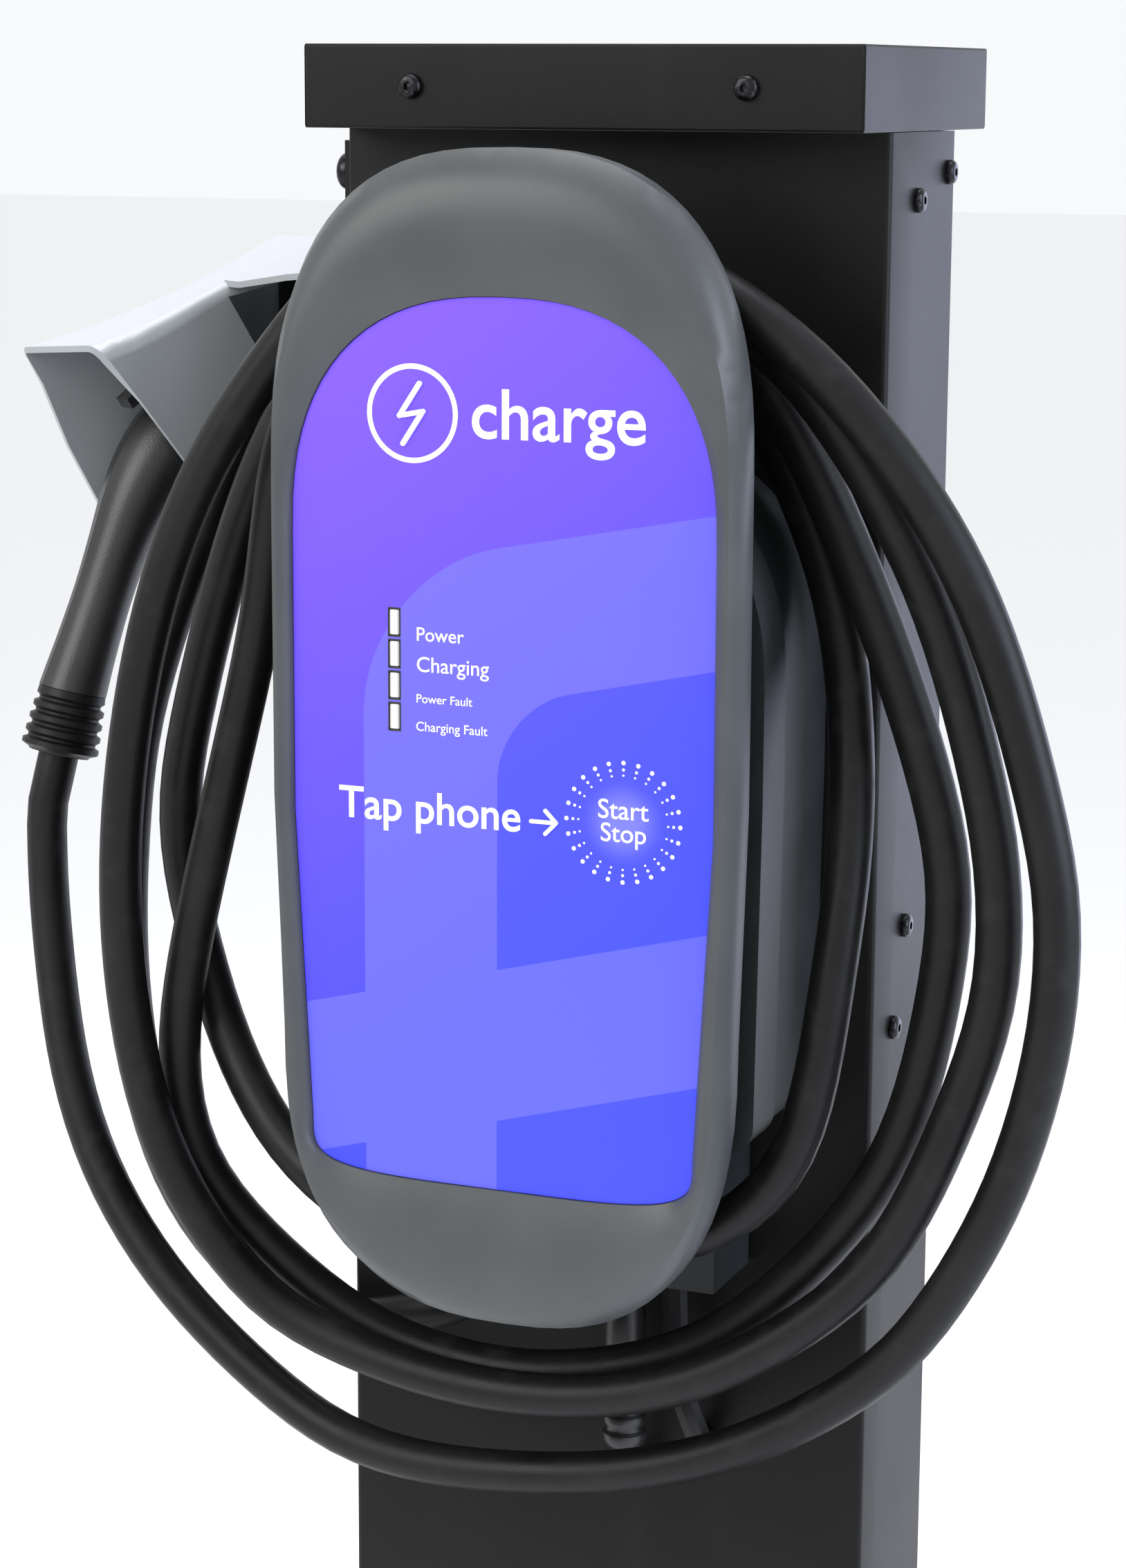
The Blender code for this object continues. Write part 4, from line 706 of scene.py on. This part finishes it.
print_word("word_power", "Power", -0.0376, -0.0161, 1.1263)
print_word("word_charging", "Charging", -0.0376, -0.0048, 1.1132)
print_word("word_power_fault", "Power Fault", -0.0378, -0.0123, 1.1000)
print_word("word_charging_fault", "Charging Fault", -0.0380, -0.0054, 1.0880)
print_word("word_tap_phone", "Tap phone", -0.0741, 0.0096, 1.0485, 0.012)
print_word("word_start", "Start", 0.0445, 0.0668, 1.0575)
print_word("word_stop", "Stop", 0.0457, 0.0657, 1.0478)
print_word("word_charge", "charge", -0.0125, 0.0640, 1.2125, 0.010)
print("8 words printed")


# %% [markdown]
# An arrow points from the words to the ring, and a lightning bolt in a ring marks the top of the label.
# Strokes could be drawn as curves. Here a stroke is a thin bar with bevelled ends, because one helper then
# makes both the arrow and the bolt.

# %% Printed bars and ring
def print_bar(name, start, end, thickness):
    """A printed line with round ends between two (x, z) points on the label."""
    start, end = Vector((start[0], 0, start[1])), Vector((end[0], 0, end[1]))
    along = end - start
    deselect()
    bpy.ops.mesh.primitive_cube_add(size=1)
    bar = bpy.context.object
    bar.name = name
    bar.scale = (along.length + thickness, 0.00008, thickness)
    bar.rotation_euler = (0, -math.atan2(along.z, along.x), 0)
    middle = (start + end) / 2
    bar.location = (middle.x, INK_Y, middle.z)
    settle(bar)
    bpy.ops.object.mode_set(mode="EDIT")
    bpy.ops.mesh.select_all(action="SELECT")
    bpy.ops.object.mode_set(mode="OBJECT")
    for edge in bar.data.edges:
        a, b = (bar.data.vertices[i].co for i in edge.vertices)
        edge.select = abs(a.y - b.y) > 0.00005
    bpy.ops.object.mode_set(mode="EDIT")
    bpy.ops.mesh.select_mode(type="EDGE")
    bpy.ops.mesh.bevel(offset=thickness * 0.45, segments=4)
    bpy.ops.object.mode_set(mode="OBJECT")
    bar.data.materials.append(ink.material)
    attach(bar, "post")
    return bar


print("bar helper ready")

# %% Arrow
ARROW_Z, ARROW_STROKE = 1.0535, 0.0017
print_bar("arrow_shaft", (0.0146, ARROW_Z), (0.0258, ARROW_Z), ARROW_STROKE)
print_bar("arrow_upper", (0.0210, 1.0584), (0.0259, ARROW_Z), ARROW_STROKE)
print_bar("arrow_lower", (0.0210, 1.0486), (0.0259, ARROW_Z), ARROW_STROKE)
print("arrow printed")

# %% [markdown]
# The mark's ring is a torus pressed flat on the label. Its round section gives it a clean edge.

# %% Mark
MARK = Vector((-0.0394, 0, 1.2213))
BOLT_STROKE = 0.0022
bolt_points = ((0.0035, 0.0125), (-0.0055, -0.0010), (0.0050, 0.0010), (-0.0040, -0.0125))
for i, (a, b) in enumerate(zip(bolt_points, bolt_points[1:])):
    start = (MARK.x + a[0], MARK.z + a[1])
    end = (MARK.x + b[0], MARK.z + b[1])
    print_bar(f"mark_bolt_{i + 1}", start, end, BOLT_STROKE)
deselect()
bpy.ops.mesh.primitive_torus_add(major_segments=72, minor_segments=8, major_radius=0.0195,
                                 minor_radius=0.0011)
mark_ring = bpy.context.object
mark_ring.name = "mark_ring"
mark_ring.rotation_euler = (math.pi / 2, 0, 0)
mark_ring.scale = (1, 1, 0.04)
mark_ring.location = (MARK.x, INK_Y, MARK.z)
settle(mark_ring)
mark_ring.data.materials.append(ink.material)
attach(mark_ring, "post")
print("mark printed")

# %% [markdown]
# Real sheet and mouldings have no razor edges, and the CAD's rounded pieces are made of flat facets.
# Each piece that shows is copied, its seams are welded, and its gentle edges are shaded smooth. A small
# bevel, which the CAD leaves out, then catches the light along the edges that stay sharp.


# %% Softened copies
SMOOTH_BELOW = math.radians(38)


def soften(name, bevel=0.0):
    """A welded, smooth-shaded copy of a CAD node that stands for it."""
    source = nodes[name]
    piece = source.copy()
    piece.data = source.data.copy()
    piece.name = name + "_skin"
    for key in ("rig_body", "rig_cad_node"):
        if key in piece:
            del piece[key]
    piece.parent = None
    piece.matrix_world = Matrix.Identity(4)
    scene.collection.objects.link(piece)
    activate(piece)
    bpy.ops.object.mode_set(mode="EDIT")
    bpy.ops.mesh.select_all(action="SELECT")
    bpy.ops.mesh.remove_doubles(threshold=0.000002)
    bpy.ops.mesh.tris_convert_to_quads(face_threshold=math.radians(25), shape_threshold=math.radians(50))
    bpy.ops.object.mode_set(mode="OBJECT")
    if piece.data.has_custom_normals:
        bpy.ops.mesh.customdata_custom_splitnormals_clear()
    if bevel:
        apply_modifier(piece, "BEVEL", width=bevel, segments=2, limit_method="ANGLE",
                       angle_limit=math.radians(45), use_clamp_overlap=True)
    activate(piece)
    bpy.ops.object.shade_smooth_by_angle(angle=SMOOTH_BELOW)
    if bevel:
        apply_modifier(piece, "WEIGHTED_NORMAL", keep_sharp=True, weight=100)
    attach(piece, source["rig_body"])
    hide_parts(name)
    return piece


soft_pieces = {
    "front_cover": 0.0, "rear_housing": 0.0, "holster_hood": 0.0004, "cap": 0.0007, "base_plate": 0.0007,
    "post_channel": 0.0, "handle_shell_left": 0.0, "handle_shell_right": 0.0, "handle_boot": 0.0,
    "latch_lever": 0.0006, "connector_nose": 0.0, "connector_dock": 0.0, "strain_relief": 0.0,
    "cable_gland": 0.0, "supply_fitting": 0.0, "supply_lead": 0.0, "network_lead": 0.0,
    "holster_bracket": 0.0005, "latch_spring": 0.0, "latch_pin": 0.0,
}
skins = {name: soften(name, bevel) for name, bevel in soft_pieces.items()}
skins.update({name: soften(name) for name in nodes if name.startswith(("contact_", "anchor_bolt"))})
deselect()
print(len(skins), "softened pieces,", sum(len(skin.data.polygons) for skin in skins.values()), "faces")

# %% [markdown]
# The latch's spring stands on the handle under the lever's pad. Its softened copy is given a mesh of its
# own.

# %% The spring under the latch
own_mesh(skins["latch_spring"])

# %% [markdown]

# %% [markdown]
# The studio: a pale floor that runs far back, a wide soft key from the upper left, a cool one from the right
# that lights the post's side, a faint one from behind that glances along it, and a gentle top light.

# %% Floor
deselect()
bpy.ops.mesh.primitive_plane_add(size=60, location=(0, 6, cad_bounds[0][2] - 0.0005))
floor = bpy.context.object
floor.name = "floor"
floor_paint = Finish("floor_pale", (0.92, 0.92, 0.92), 0.8)
floor_paint.rough(floor_paint.noise(3, 2.0) * 0.05 + 0.75)
floor.data.materials.append(floor_paint.material)
print("floor at", round(floor.location.z, 4), "m")


# %% Lights
def soft_light(name, place, aim, size, watts, color):
    deselect()
    bpy.ops.object.light_add(type="AREA", location=place)
    lamp = bpy.context.object
    lamp.name = name
    lamp.rotation_euler = (Vector(aim) - Vector(place)).to_track_quat("-Z", "Y").to_euler()
    lamp.data.shape = "RECTANGLE"
    lamp.data.size = size
    lamp.data.size_y = size
    lamp.data.energy = watts
    lamp.data.color = color
    return lamp


soft_light("key", (-1.5, -2.3, 2.5), (0, 0, 1.1), 1.8, 52, (1.0, 0.98, 0.95))
soft_light("side", (2.6, -0.3, 1.7), (0, 0, 1.0), 1.8, 62, (0.74, 0.80, 1.0))
soft_light("glance", (1.0, 2.4, 1.0), (0.1, 0, 1.05), 1.5, 12, (0.62, 0.67, 1.0))
soft_light("top", (-0.2, 0.3, 3.6), (0, 0, 1.2), 1.6, 45, (0.93, 0.96, 1.0))
world = bpy.data.worlds.new("studio")
world.use_nodes = True
background = world.node_tree.nodes["Background"]
background.inputs["Color"].default_value = (0.97, 0.98, 1.0, 1.0)
background.inputs["Strength"].default_value = 0.97
scene.world = world
print("4 lights")
